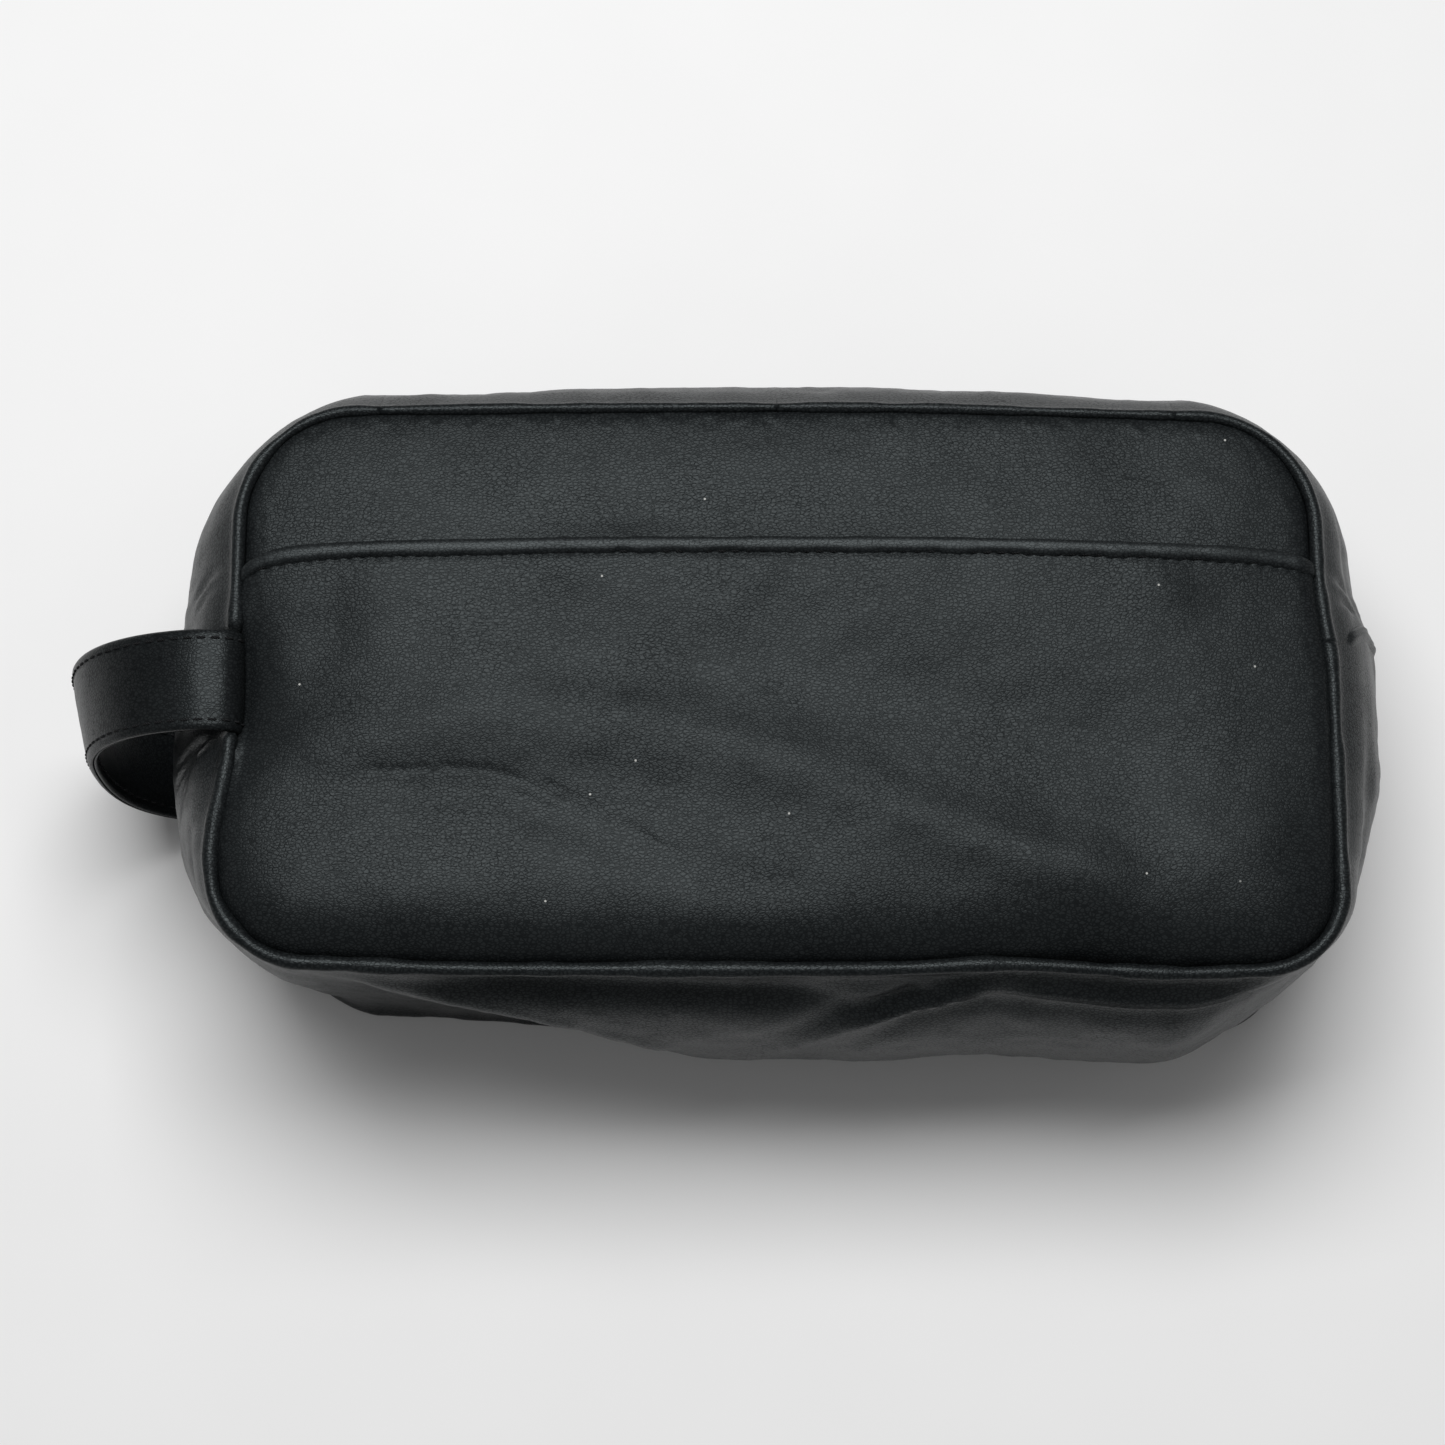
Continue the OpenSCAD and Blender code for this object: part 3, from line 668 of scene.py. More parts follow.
class Shader:
    """A node material built step by step. Object coordinates are in millimetres."""

    def __init__(self, name):
        self.material = bpy.data.materials.new(name)
        self.material.use_nodes = True
        self.tree = self.material.node_tree
        self.surface = self.tree.nodes["Principled BSDF"]
        coordinates = self.add("ShaderNodeTexCoord")
        self.place = self.add("ShaderNodeVectorMath", operation="SCALE")
        self.place.inputs["Scale"].default_value = 1 / MM
        self.link(coordinates.outputs["Object"], self.place.inputs[0])
        self.place = self.place.outputs[0]

    def add(self, kind, **settings):
        node = self.tree.nodes.new(kind)
        for key, value in settings.items():
            setattr(node, key, value)
        return node

    def link(self, source, target):
        self.tree.links.new(source, target)

    def put(self, socket, value):
        if hasattr(value, "default_value"):
            self.link(value, socket)
        else:
            socket.default_value = value

    def noise(self, size, detail=2.0, roughness=0.5):
        """Noise from 0 to 1 whose features are about size millimetres across."""
        node = self.add("ShaderNodeTexNoise")
        node.inputs["Scale"].default_value = 1 / size
        node.inputs["Detail"].default_value = detail
        node.inputs["Roughness"].default_value = roughness
        self.link(self.place, node.inputs["Vector"])
        return node.outputs["Fac"]

    def cells(self, size, feature="F1", place=None, dimensions="3D"):
        node = self.add("ShaderNodeTexVoronoi", feature=feature, voronoi_dimensions=dimensions)
        node.inputs["Scale"].default_value = 1 / size
        self.link(place or self.place, node.inputs["Vector"])
        return node.outputs["Distance"]

    def maths(self, operation, a, b=0.0, c=None):
        node = self.add("ShaderNodeMath", operation=operation)
        self.put(node.inputs[0], a)
        self.put(node.inputs[1], b)
        if c is not None:
            self.put(node.inputs[2], c)
        return node.outputs[0]

    def remap(self, value, low, high, to_low=0.0, to_high=1.0):
        node = self.add("ShaderNodeMapRange", interpolation_type="SMOOTHSTEP")
        self.put(node.inputs["Value"], value)
        for key, number in (("From Min", low), ("From Max", high), ("To Min", to_low), ("To Max", to_high)):
            node.inputs[key].default_value = number
        return node.outputs["Result"]

    def mix(self, share, a, b):
        node = self.add("ShaderNodeMix", data_type="RGBA")
        self.put(node.inputs["Factor"], share)
        self.put(node.inputs[6], a)
        self.put(node.inputs[7], b)
        return node.outputs[2]

    def warped(self, size, amount):
        """Coordinates pushed about by noise, so that cells lose their regular look."""
        node = self.add("ShaderNodeTexNoise")
        node.inputs["Scale"].default_value = 1 / size
        self.link(self.place, node.inputs["Vector"])
        centred = self.add("ShaderNodeVectorMath", operation="SUBTRACT")
        self.link(node.outputs["Color"], centred.inputs[0])
        centred.inputs[1].default_value = (0.5, 0.5, 0.5)
        scaled = self.add("ShaderNodeVectorMath", operation="SCALE")
        self.link(centred.outputs[0], scaled.inputs[0])
        scaled.inputs["Scale"].default_value = amount
        total = self.add("ShaderNodeVectorMath", operation="ADD")
        self.link(self.place, total.inputs[0])
        self.link(scaled.outputs[0], total.inputs[1])
        return total.outputs[0]

    def stretched(self, place, factors):
        node = self.add("ShaderNodeVectorMath", operation="MULTIPLY")
        self.link(place, node.inputs[0])
        node.inputs[1].default_value = factors
        return node.outputs[0]

    def bump(self, height, depth_mm, strength=1.0):
        node = self.add("ShaderNodeBump")
        node.inputs["Strength"].default_value = strength
        node.inputs["Distance"].default_value = depth_mm * MM
        self.link(height, node.inputs["Height"])
        return node.outputs[0]

    def finish(self, colour, roughness, normal=None, metallic=0.0, specular=0.5):
        """Wires up the surface and gives back the finished material."""
        self.put(self.surface.inputs["Base Color"], colour)
        self.put(self.surface.inputs["Roughness"], roughness)
        self.surface.inputs["Metallic"].default_value = metallic
        self.put(self.surface.inputs["Specular IOR Level"], specular)
        if normal is not None:
            self.link(normal, self.surface.inputs["Normal"])
        return self.material


def toned(tone, *colour):
    return tuple(tone * part for part in colour) + (1,)


def leather_material(name, tone=1.0, grain=0.9, depth=0.16, shine=0.42, gloss=0.18, dusty=False):
    """Black pebbled leather: small pebbles, finer pores, faint cracks, soft blotches and a little dust, with
    painted shade in the grain's hollows and painted highlights on its tops.
    """
    s = Shader(name)
    bent = s.stretched(s.warped(grain * 2.2, grain * 0.8), (0.78, 1.18, 1.0))
    fine = s.remap(s.cells(grain, "DISTANCE_TO_EDGE", bent), 0.0, 0.24)
    coarse = s.remap(s.cells(grain * 1.5, "DISTANCE_TO_EDGE", bent), 0.0, 0.15)
    pores = s.noise(grain * 0.35, 3.0, 0.6)
    region = s.remap(s.noise(24, 2.0), 0.4, 0.62)
    cracks = s.maths("MULTIPLY", s.maths("SUBTRACT", coarse, 1.0), s.maths("MULTIPLY_ADD", region, 0.14, 0.1))
    height = s.maths("MULTIPLY_ADD", fine, 0.6, cracks)
    height = s.maths("MULTIPLY_ADD", pores, 0.3, height)
    blotch = s.remap(s.noise(26, 3.0, 0.5), 0.25, 0.75)
    colour = s.mix(blotch, toned(tone, 0.0058, 0.0068, 0.0075), toned(tone, 0.0088, 0.0102, 0.011))
    # Painted shade: the grain's hollows are painted near black.
    low = s.remap(height, -0.5, 0.35)
    colour = s.mix(low, toned(tone, 0.0018, 0.0021, 0.0024), colour)
    # Painted highlight: the pebbles' tops are painted lighter.
    pebble_top_highlight = s.remap(height, 0.35, 0.8)
    colour = s.mix(s.maths("MULTIPLY", pebble_top_highlight, 0.5), colour, toned(tone, 0.022, 0.025, 0.026))
    if dusty:
        speck = s.cells(24, dimensions="2D")
        chosen = s.remap(s.noise(31, 0.0), 0.59, 0.61)
        dust = s.maths("MULTIPLY", s.remap(speck, 0.013, 0.008), chosen)
        colour = s.mix(dust, colour, (0.42, 0.42, 0.4, 1))
    rough = s.remap(s.noise(15, 3.0, 0.5), 0.25, 0.75, shine - 0.01, shine + 0.015)
    rough = s.maths("MULTIPLY_ADD", s.maths("SUBTRACT", 1.0, low), 0.25, rough)
    s.surface.inputs["Specular Tint"].default_value = (0.88, 0.98, 1.0, 1)
    shiny = s.remap(height, -0.35, 0.6, gloss * 0.5, gloss * 1.2)
    return s.finish(colour, rough, s.bump(height, depth), specular=shiny)


def cloth_material(name, colour, thread=0.45, depth=0.1):
    """Plain woven cloth with uneven threads."""
    s = Shader(name)
    bent = s.warped(6, 0.25)
    split = s.add("ShaderNodeSeparateXYZ")
    s.link(bent, split.inputs[0])
    turn = math.pi / thread
    waves = [s.maths("SINE", s.maths("MULTIPLY", split.outputs[axis], turn)) for axis in range(3)]
    weave = s.maths("MULTIPLY", s.maths("MULTIPLY", waves[0], waves[1]), waves[2])
    flat = s.maths("ADD", s.maths("MULTIPLY", waves[0], waves[1]), s.maths("MULTIPLY", waves[1], waves[2]))
    height = s.maths("MULTIPLY_ADD", weave, 0.4, s.maths("MULTIPLY", flat, 0.5))
    shade = s.remap(s.noise(8, 3.0), 0.3, 0.7)
    share = s.maths("MULTIPLY_ADD", height, 0.25, s.maths("MULTIPLY", shade, 0.7))
    tint = s.mix(share, toned(0.75, *colour), toned(1.3, *colour))
    rough = s.remap(s.noise(3, 2.0), 0.3, 0.7, 0.72, 0.86)
    return s.finish(tint, rough, s.bump(height, depth, 0.8))


def thread_material(name):
    s = Shader(name)
    split = s.add("ShaderNodeSeparateXYZ")
    s.link(s.place, split.inputs[0])
    along = s.maths("ADD", s.maths("ADD", split.outputs[0], split.outputs[1]), split.outputs[2])
    twist = s.maths("SINE", s.maths("MULTIPLY", along, 9.0))
    tint = s.mix(s.remap(twist, -1, 1), (0.004, 0.004, 0.0045, 1), (0.016, 0.017, 0.018, 1))
    rough = s.remap(s.noise(1.2), 0.3, 0.7, 0.7, 0.85)
    return s.finish(tint, rough, s.bump(twist, 0.08, 0.7), specular=0.1)


def plastic_material(name):
    s = Shader(name)
    tint = s.mix(s.noise(4, 3.0), (0.012, 0.0125, 0.013, 1), (0.022, 0.023, 0.024, 1))
    rough = s.remap(s.noise(1.5, 3.0), 0.3, 0.7, 0.34, 0.46)
    return s.finish(tint, rough, s.bump(s.noise(0.35, 2.0), 0.02, 0.6))


def metal_material(name):
    """Dark nickel plating with fine scuffs."""
    s = Shader(name)
    scuffs = s.noise(0.8, 5.0, 0.7)
    tint = s.mix(s.remap(s.noise(5, 3.0), 0.3, 0.7), (0.25, 0.25, 0.26, 1), (0.36, 0.36, 0.37, 1))
    rough = s.remap(scuffs, 0.35, 0.7, 0.2, 0.36)
    return s.finish(tint, rough, s.bump(scuffs, 0.015, 0.5), metallic=1.0)


LEATHER_FRONT = leather_material("pebbled_leather_front", 1.0, 0.85, 0.045, 0.36, gloss=0.13, dusty=True)
# Painted shade: the walls' copy of the leather has its tone lowered to 0.95.
LEATHER_WALL = leather_material("pebbled_leather_wall", 0.95, 0.9, 0.045, 0.34, gloss=0.17)
# Painted highlight: the hem's copy of the leather has its tone raised to 1.1.
LEATHER_HEM = leather_material("folded_leather_hem", 1.1, 0.8, 0.02, 0.38, gloss=0.2)
LEATHER_STRAP = leather_material("smooth_leather_strap", 0.8, 0.85, 0.045, 0.34, gloss=0.13)
LEATHER_BACK = leather_material("leather_flesh_side", 1.4, 0.5, 0.06, 0.75)
LINING = cloth_material("woven_lining", (0.018, 0.018, 0.02))
TAPE = cloth_material("zip_tape_weave", (0.012, 0.0125, 0.013), 0.3, 0.12)
THREAD = thread_material("waxed_thread")
TEETH = plastic_material("moulded_teeth")
METAL = metal_material("dark_nickel")


# ---- panels and pocket

POCKET_LIFT = 2.4                                # from the front panel's face to the pocket's
POCKET_T = 0.9
POCKET_CLOTH = 0.2
POCKET_CLOTH_LIFT = 0.25
POCKET_CLOTH_IN = 2.2
HEM_DEEP = 2.1


def mouth_gap(x, y):
    """The pocket stands a little open towards its right end."""
    open_here = 1.1 * smooth(x, 20, 75) * (1 - smooth(x, 100, 119)) + 0.25
    return open_here * np.exp(-np.clip(MOUTH_Y - y, 0, None) / 9)


def hem_groove(x, y):
    """The groove the hem's stitches pull into the pocket's panel."""
    pulled = 0.75 + 0.35 * np.cos(2 * math.pi * x / STITCH)
    return -0.55 * pulled * bump(y, mouth_line(x) - HEM_DEEP - 0.25, 0.7)


def pocket_face(x, y):
    return front_face(x, y) + POCKET_LIFT + mouth_gap(x, y) + crease_lines(x, y)


def stitched_pocket_face(x, y):
    return pocket_face(x, y) + hem_groove(x, y)


def under_face(drop):
    return lambda x, y: front_face(x, y) - drop


def back_face(x, y):
    d = np.clip(edge_distance(x, y), PANEL_IN, None) - PANEL_IN
    return np.clip(2.6 * np.exp(-d / 2.4) + 0.1 * fractal(x / 12, y / 12, 51) * (1 - np.exp(-d / 9)), 0, None)


FRONT_SKINS = [LEATHER_FRONT, LEATHER_BACK]
BACK_STEP = 2.0
LINING_STEP = 3.5
LINING_IN = 2.6
FRONT_LINING_DROP = 2.4


def over_back(x, y):
    return back_face(x, y) + LEATHER + 0.5


def make_panels():
    grid = panel_grid(PANEL_IN, FINE, front_face)
    shell_leather("front_panel_leather", grid, "front_panel", thickness=PANEL_T, skins=FRONT_SKINS, flip=True)
    grid = panel_grid(PANEL_IN, BACK_STEP, back_face)
    shell_leather("back_panel_leather", grid, "back_panel", thickness=PANEL_T, skins=FRONT_SKINS)
    grid = panel_grid(LINING_IN, LINING_STEP, under_face(FRONT_LINING_DROP))
    shell_lining("lining_front_cloth", grid, "lining_front", flip=True)
    grid = panel_grid(LINING_IN, LINING_STEP, over_back)
    shell_lining("lining_back_cloth", grid, "lining_back")


def hem_line(count):
    """The mouth of the pocket from seam to seam, and the pocket's face a little below it."""
    x = spread(count, 0.2) * (HALF_W - PANEL_IN - 0.2)
    y = mouth_line(x)
    return x, y, pocket_face(x, y - 1.5)


# The folded hem in section: places across it from the mouth, and heights over the pocket's face.
HEM_SECTION = ((-2.6, -0.75), (-2.3, -0.5), (-2.1, -0.1), (-1.85, 0.22), (-1.5, 0.36), (-0.9, 0.42),
               (-0.3, 0.44), (0.2, 0.4), (0.5, 0.24), (0.7, -0.05), (0.75, -0.4), (0.6, -0.75),
               (0.0, -0.98), (-1.0, -1.05), (-2.5, -1.05), (-4.5, -1.05), (-6.5, -1.0))
HEM_SKIN = 0.35
HEM_STEPS = 420


def make_hem():
    x, y, level = hem_line(HEM_STEPS)
    swell = 1 + 0.12 * fractal(x / 6, 0, 61, 2)
    grid = np.empty((len(x), len(HEM_SECTION), 3))
    for k, (across, up) in enumerate(HEM_SECTION):
        grid[:, k, 0] = x
        grid[:, k, 1] = y + across * swell
        grid[:, k, 2] = level + up * np.where(up > 0, swell, 1)
    grid = sway(grid)
    shell_leather("pocket_hem_fold", grid, "pocket_hem", thickness=HEM_SKIN, skins=[LEATHER_HEM], flip=True)
    keep = np.abs(x) < HALF_W - 3.5
    line = np.stack([x, y - HEM_DEEP - 0.15, level - 0.3], axis=1)[keep]
    up = np.broadcast_to([0.0, 0.0, 1.0], line.shape)
    piece = stitch_row("pocket_hem_stitches", sway(line), up)
    finish_piece(piece, "shell", "thread", "pocket_hem_stitching")


def below_hem(x):
    return mouth_line(x) - HEM_DEEP


def make_pocket():
    top = MOUTH_Y - HEM_DEEP
    grid = panel_grid(PANEL_IN, FINE, stitched_pocket_face, top, below_hem)
    shell_leather("pocket_panel_leather", grid, "pocket_panel", thickness=POCKET_T, skins=FRONT_SKINS,
                  flip=True)
    grid = panel_grid(POCKET_CLOTH_IN, LINING_STEP, under_face(-POCKET_CLOTH_LIFT), top, below_hem)
    shell_lining("pocket_lining_cloth", grid, "pocket_lining", POCKET_CLOTH, True)
    make_hem()


# ---- walls


def make_walls():
    grid = wall_grid(base_path(WALL_STEP))
    shell_leather("base_wall_leather", grid, "base_gusset", "seam_roll_front", "seam_roll_back")
    grid = lining_grid(base_path(CLOTH_STEP))
    shell_lining("lining_base_cloth", grid, "lining_base")
    for side, turn in (("right", as_is), ("left", mirrored)):
        wall = f"end_wall_{side}_leather"
        shell_leather(wall, wall_grid(turn(*end_path(WALL_STEP))), f"zip_gusset_{side}")
        grid = lining_grid(turn(*end_path(CLOTH_STEP)))
        shell_lining(f"lining_{side}_cloth", grid, f"lining_{side}")


# The lapped cross seam in section: places across it and how far it stands out there.
LAP_ACROSS = np.array([2.6, 1.7, 0.9, 0.3, -0.3, -0.9, -1.6, -2.4])
LAP_LIFT = np.array([-0.5, 0.35, 0.85, 0.55, 0.95, 0.6, 0.2, -0.5])
LAP_T = 0.5


def make_cross_seams():
    """The lapped seam that crosses the wall at mid height at each end."""
    tau = np.linspace(0.02, 0.98, 90)
    buried = 1.6 * (1 - smooth(np.minimum(tau, 1 - tau), 0.02, 0.06))
    uneven = 1 + 0.15 * value_noise(tau * 24, 0.5, 71)
    for side, sign in (("right", 1), ("left", -1)):
        middle = np.full(len(LAP_ACROSS), sign * HALF_W)
        path = np.stack([middle, CROSS_Y + LAP_ACROSS], axis=1)
        out = np.broadcast_to([float(sign), 0.0], path.shape)
        place = sign * (ZIP_END + END_RUN - LAP_ACROSS)
        bulge = wall_bulge(path, out, place, tau) + neck_out(out)
        bulge += LAP_LIFT[:, None] * uneven[None, :] - buried
        grid = np.empty(bulge.shape + (3,))
        grid[..., 0] = sign * (HALF_W + bulge)
        grid[..., 1] = path[:, 1][:, None]
        grid[..., 2] = WALL_TOP - tau[None, :] * WALL_RUN
        grid = sway(grid if sign > 0 else grid[::-1])
        name = f"cross_seam_{side}"
        shell_leather(f"{name}_lap", grid, name, thickness=LAP_T, skins=[LEATHER_WALL])


# ---- zip

SLOT_TAU = (WALL_TOP - MID_Z - SLOT_HALF) / WALL_RUN
LINING_TAU = (WALL_TOP - MID_Z - 11.0) / WALL_RUN
TAPE_TOP = box_mm("zip_tape_front")[1][1]
TOOTH_TOP = box_mm("zip_teeth_front")[1][1]
TOOTH_T = TOOTH_TOP - box_mm("zip_teeth_front")[0][1]
TAPE_OUT = box_mm("zip_tape_front")[1][2] - MID_Z
TOOTH_PITCH = 3.0
TAPE_T = 0.5
ALLOWANCE = np.array([3.6, 2.4, 1.2])            # depths of the rows of turned-in leather

# One of the four quarters of the mouth: which is front or back, end is left or right.
Quarter = namedtuple("Quarter", "which side end sign")


def finish_quarter(piece, quarter, slot, *replaced):
    """Hides the parts that a piece beside the zip replaces and bakes its placement into its mesh."""
    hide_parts(*replaced)
    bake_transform(piece)


def bevelled_block(size, bevel, segments=2):
    """Points and faces of a block with rounded edges round the origin, in millimetres."""
    work = bmesh.new()
    bmesh.ops.create_cube(work, size=1.0)
    bmesh.ops.scale(work, vec=size, verts=work.verts)
    bmesh.ops.bevel(work, geom=list(work.edges), offset=bevel, segments=segments, profile=0.5, affect="EDGES")
    work.verts.index_update()
    points = np.array([v.co[:] for v in work.verts])
    faces = [[v.index for v in f.verts] for f in work.faces]
    work.free()
    return points, faces


def joined(name, parts, materials):
    """One piece from several lists of points and faces."""
    points, faces, start = [], [], 0
    for part_points, part_faces in parts:
        points.append(part_points)
        faces += [[i + start for i in face] for face in part_faces]
        start += len(part_points)
    return make_object(name, np.concatenate(points), faces, materials)


def tube_part(path, radius, sides, flat=1.0, lift=(0, 0, 1)):
    rings = tube_points(path, radius, sides, flat, lift)
    return rings.reshape(-1, 3), tube_faces(len(rings), sides, 0)


def tooth(x, side):
    """One moulded tooth: a body on the tape and a rounder head towards the middle."""
    body, faces = bevelled_block((1.7, TOOTH_T, 2.0), 0.4)
    body = body.copy()
    body[:, 0] *= np.where(body[:, 2] * side < 0, 0.8, 1.0)
    body += [x, TOOTH_TOP - TOOTH_T / 2, MID_Z + side * 1.55]
    head, head_faces = bevelled_block((1.25, TOOTH_T * 0.7, 0.9), 0.3)
    head = head + [x, TOOTH_TOP - TOOTH_T / 2, MID_Z + side * 0.72]
    return (body, faces), (head, head_faces)


def with_allowance(grid, side):
    """Adds the leather that is turned in under the panel's edge."""
    edge = grid[:, :1] if side > 0 else grid[:, -1:]
    tucked = np.repeat(edge, len(ALLOWANCE), axis=1)
    tucked[..., 1] -= ALLOWANCE
    tucked[..., 2] -= side * 0.5
    return np.concatenate([tucked, grid] if side > 0 else [grid, tucked[:, ::-1]], axis=1)


def turned(quarter, run):
    return run if quarter.sign > 0 else mirrored(*run)


def quarter_name(quarter, part):
    return f"{quarter.which}_lip_{quarter.end}_{part}"


def make_strip(quarter):
    """The leather strip beside the zip, with its lining. Gives back the strip's face."""
    front = quarter.side > 0
    first, last = (0.0, SLOT_TAU) if front else (1 - SLOT_TAU, 1.0)
    grid = wall_grid(turned(quarter, top_path(ZIP_STEP)), first, last, front, not front)
    name = quarter_name(quarter, "strip_leather")
    strip = sheet_piece(name, with_allowance(grid, quarter.side), LEATHER, [LEATHER_WALL, LEATHER_BACK])
    finish_quarter(strip, quarter, "leather", f"zip_strip_{quarter.which}")
    first, last = (0.02, LINING_TAU) if front else (1 - LINING_TAU, 0.98)
    cloth = lining_grid(turned(quarter, top_path(CLOTH_STEP)), first, last)
    lining = sheet_piece(quarter_name(quarter, "lining_cloth"), cloth, CLOTH, [LINING])
    finish_quarter(lining, quarter, "lining", f"lip_lining_{quarter.which}")
    return grid


def make_tape(quarter):
    x = turned(quarter, top_path(ZIP_STEP))[0][:, 0]
    across = np.linspace(2.2, TAPE_OUT, 9)
    tape = np.empty((len(x), len(across), 3))
    tape[..., 0] = x[:, None]
    tape[..., 1] = TAPE_TOP + 0.06 * np.sin(across / 1.3)[None, :]
    tape[..., 2] = MID_Z + quarter.side * across[None, :]
    piece = sheet_piece(quarter_name(quarter, "zip_tape"), tape, TAPE_T, [TAPE], flip=quarter.side > 0)
    finish_quarter(piece, quarter, "zip_tape", f"zip_tape_{quarter.which}", f"zip_tape_{quarter.end}")


def make_teeth(quarter):
    """Teeth on one tape. Those of the other tape are shifted by half a pitch."""
    shift = 0.25 if quarter.side > 0 else 0.75
    first = shift if quarter.sign > 0 else 1 - shift
    parts = []
    for i in range(int((ZIP_HALF - 5.0) / TOOTH_PITCH)):
        parts += tooth(quarter.sign * (i + first) * TOOTH_PITCH, quarter.side)
    piece = joined(quarter_name(quarter, "zip_teeth"), parts, [TEETH])
    finish_quarter(piece, quarter, "zip_teeth", f"zip_teeth_{quarter.which}", f"zip_teeth_{quarter.end}")


def make_strip_stitches(quarter, grid):
    """Stitches along the strip, two columns in from its edge at the zip."""
    k = grid.shape[1] - 3 if quarter.side > 0 else 2
    piece = stitch_row(quarter_name(quarter, "strip_stitches"), grid[:, k], grid_normals(grid)[:, k])
    replaced = f"strip_stitching_{quarter.which}", f"strip_stitching_{quarter.end}"
    finish_quarter(piece, quarter, "thread", *replaced)


def make_zip():
    for which, side in (("front", 1), ("back", -1)):
        for end, sign in (("right", 1), ("left", -1)):
            quarter = Quarter(which, side, end, sign)
            grid = make_strip(quarter)
            make_tape(quarter)
            make_teeth(quarter)
            make_strip_stitches(quarter, grid)
    for end in ("left", "right"):
        low, high = box_mm(f"zip_stop_{end}")
        points, faces = bevelled_block(tuple(high - low), 0.5, 3)
        piece = make_object(f"zip_stop_{end}_block", points + (low + high) / 2, faces, [METAL])
        finish_piece(piece, "shell", "zip_metal", f"zip_stop_{end}")


SLIDER_TOP = TOOTH_TOP + 0.4                     # inner faces of the slider's two plates
SLIDER_BASE = TOOTH_TOP - TOOTH_T - 0.4
# The bridge over the top plate, seen from the side.
BRIDGE = np.array([(-3.1, 0.4), (-3.0, 1.6), (-2.5, 2.7), (-1.4, 3.35), (0, 3.5),
                   (1.4, 3.35), (2.5, 2.7), (3.0, 1.6), (3.1, 0.4)])


def slider_plate(middle_x, height):
    """A plate that narrows towards one end."""
    points, faces = bevelled_block((12, 1.0, 9), 0.35, 3)
    points[:, 2] *= 1 - 0.28 * smooth(points[:, 0], -2.0, 6.0)
    return points + [middle_x, height, MID_Z], faces


def make_slider():
    low, high = box_mm("zip_slider")
    middle_x = (low[0] + high[0]) / 2
    parts = [slider_plate(middle_x, SLIDER_TOP + 0.5), slider_plate(middle_x, SLIDER_BASE - 0.5)]
    flanges = ((TAPE_TOP + 0.35, SLIDER_TOP + 0.2), (SLIDER_BASE - 0.2, TAPE_TOP - 0.95))
    for side in (-1, 1):
        for low_y, high_y in flanges:
            points, faces = bevelled_block((9.5, high_y - low_y, 0.75), 0.2)
            parts.append((points + [middle_x - 0.9, (low_y + high_y) / 2, MID_Z + side * 3.95], faces))
    post, faces = bevelled_block((4, SLIDER_TOP - SLIDER_BASE + 0.4, 0.36), 0.1)
    parts.append((post + [middle_x - 4, (SLIDER_TOP + SLIDER_BASE) / 2, MID_Z], faces))
    flat = np.zeros(len(BRIDGE))
    path = np.stack([middle_x + BRIDGE[:, 0], SLIDER_TOP + BRIDGE[:, 1], MID_Z + flat], axis=1)
    parts.append(tube_part(path, 0.9, 12, 0.42, np.stack([BRIDGE[:, 0], BRIDGE[:, 1], flat], axis=1)))
    finish_piece(joined("zip_slider_body", parts, [METAL]), "slider", "zip_metal", "zip_slider")


TAB_HALF_T = 0.8
TAB_STEPS = 72
TAB_SQUARE = (0.34, 0.8)                         # below 1 the tab's outline is squarer than an ellipse
# Rounded edges: the distance in from the outline, or the hole's radius, and the share of half the thickness.
OUTER_EDGE = ((0.0, -0.45), (0.0, 0.45), (0.14, 0.85), (0.45, 1.0))
HOLE_EDGE = ((2.0, 1.0), (1.68, 0.85), (1.55, 0.45), (1.55, -0.45), (1.68, -0.85), (2.0, -1.0))
LOWER_EDGE = ((0.45, -1.0), (0.14, -0.85))
# Half of the wire eye, from its arm in the tab to its middle under the bridge.
EYE_HALF = ((-5.6, -2.05), (-4.2, -2.25), (-2.0, -2.3), (-0.7, -2.15), (-0.12, -1.6), (0, -0.8))


def squared(wave, power):
    return np.sign(wave) * np.abs(wave) ** power


def pull_tab(pin, low, high):
    """A flat tab with a hole near its free end and rounded edges."""
    half = (high[2] - low[2]) / 2
    start, end = pin[0] - 4.6, low[0]
    hole_x = end + half
    walk = np.linspace(0, 2 * math.pi, TAB_STEPS, endpoint=False)
    outline_x = (start + end) / 2 + (start - end) / 2 * squared(np.cos(walk), TAB_SQUARE[0])
    narrow = 1 - 0.3 * smooth(outline_x, hole_x, start)
    outline = np.stack([outline_x, half * narrow * squared(np.sin(walk), TAB_SQUARE[1])], axis=1)
    centre = np.array([hole_x, 0.0])
    away = outline - centre
    away /= np.linalg.norm(away, axis=1, keepdims=True)
    rings = [(outline - away * inset, level) for inset, level in OUTER_EDGE]
    rings += [(centre + away * radius, level) for radius, level in HOLE_EDGE]
    rings += [(outline - away * inset, level) for inset, level in LOWER_EDGE]
    points = []
    for ring, level in rings:
        height = np.full(TAB_STEPS, pin[1] + level * TAB_HALF_T)
        points.append(np.stack([ring[:, 0], height, MID_Z + ring[:, 1]], axis=1))
    faces = []
    for i in range(len(rings)):
        here, ahead = i * TAB_STEPS, (i + 1) % len(rings) * TAB_STEPS
        for j in range(TAB_STEPS):
            k = (j + 1) % TAB_STEPS
            faces.append([here + j, ahead + j, ahead + k, here + k])
    return np.concatenate(points), faces


def pull_eye(pin):
    """The wire that passes under the slider's bridge."""
    eye = np.array(EYE_HALF + tuple((x, -z) for x, z in reversed(EYE_HALF)))
    path = np.stack([pin[0] + eye[:, 0], np.full(len(eye), pin[1]), MID_Z + eye[:, 1]], axis=1)
    return tube_part(path, 0.62, 10, 1.0, (0, 1, 0))


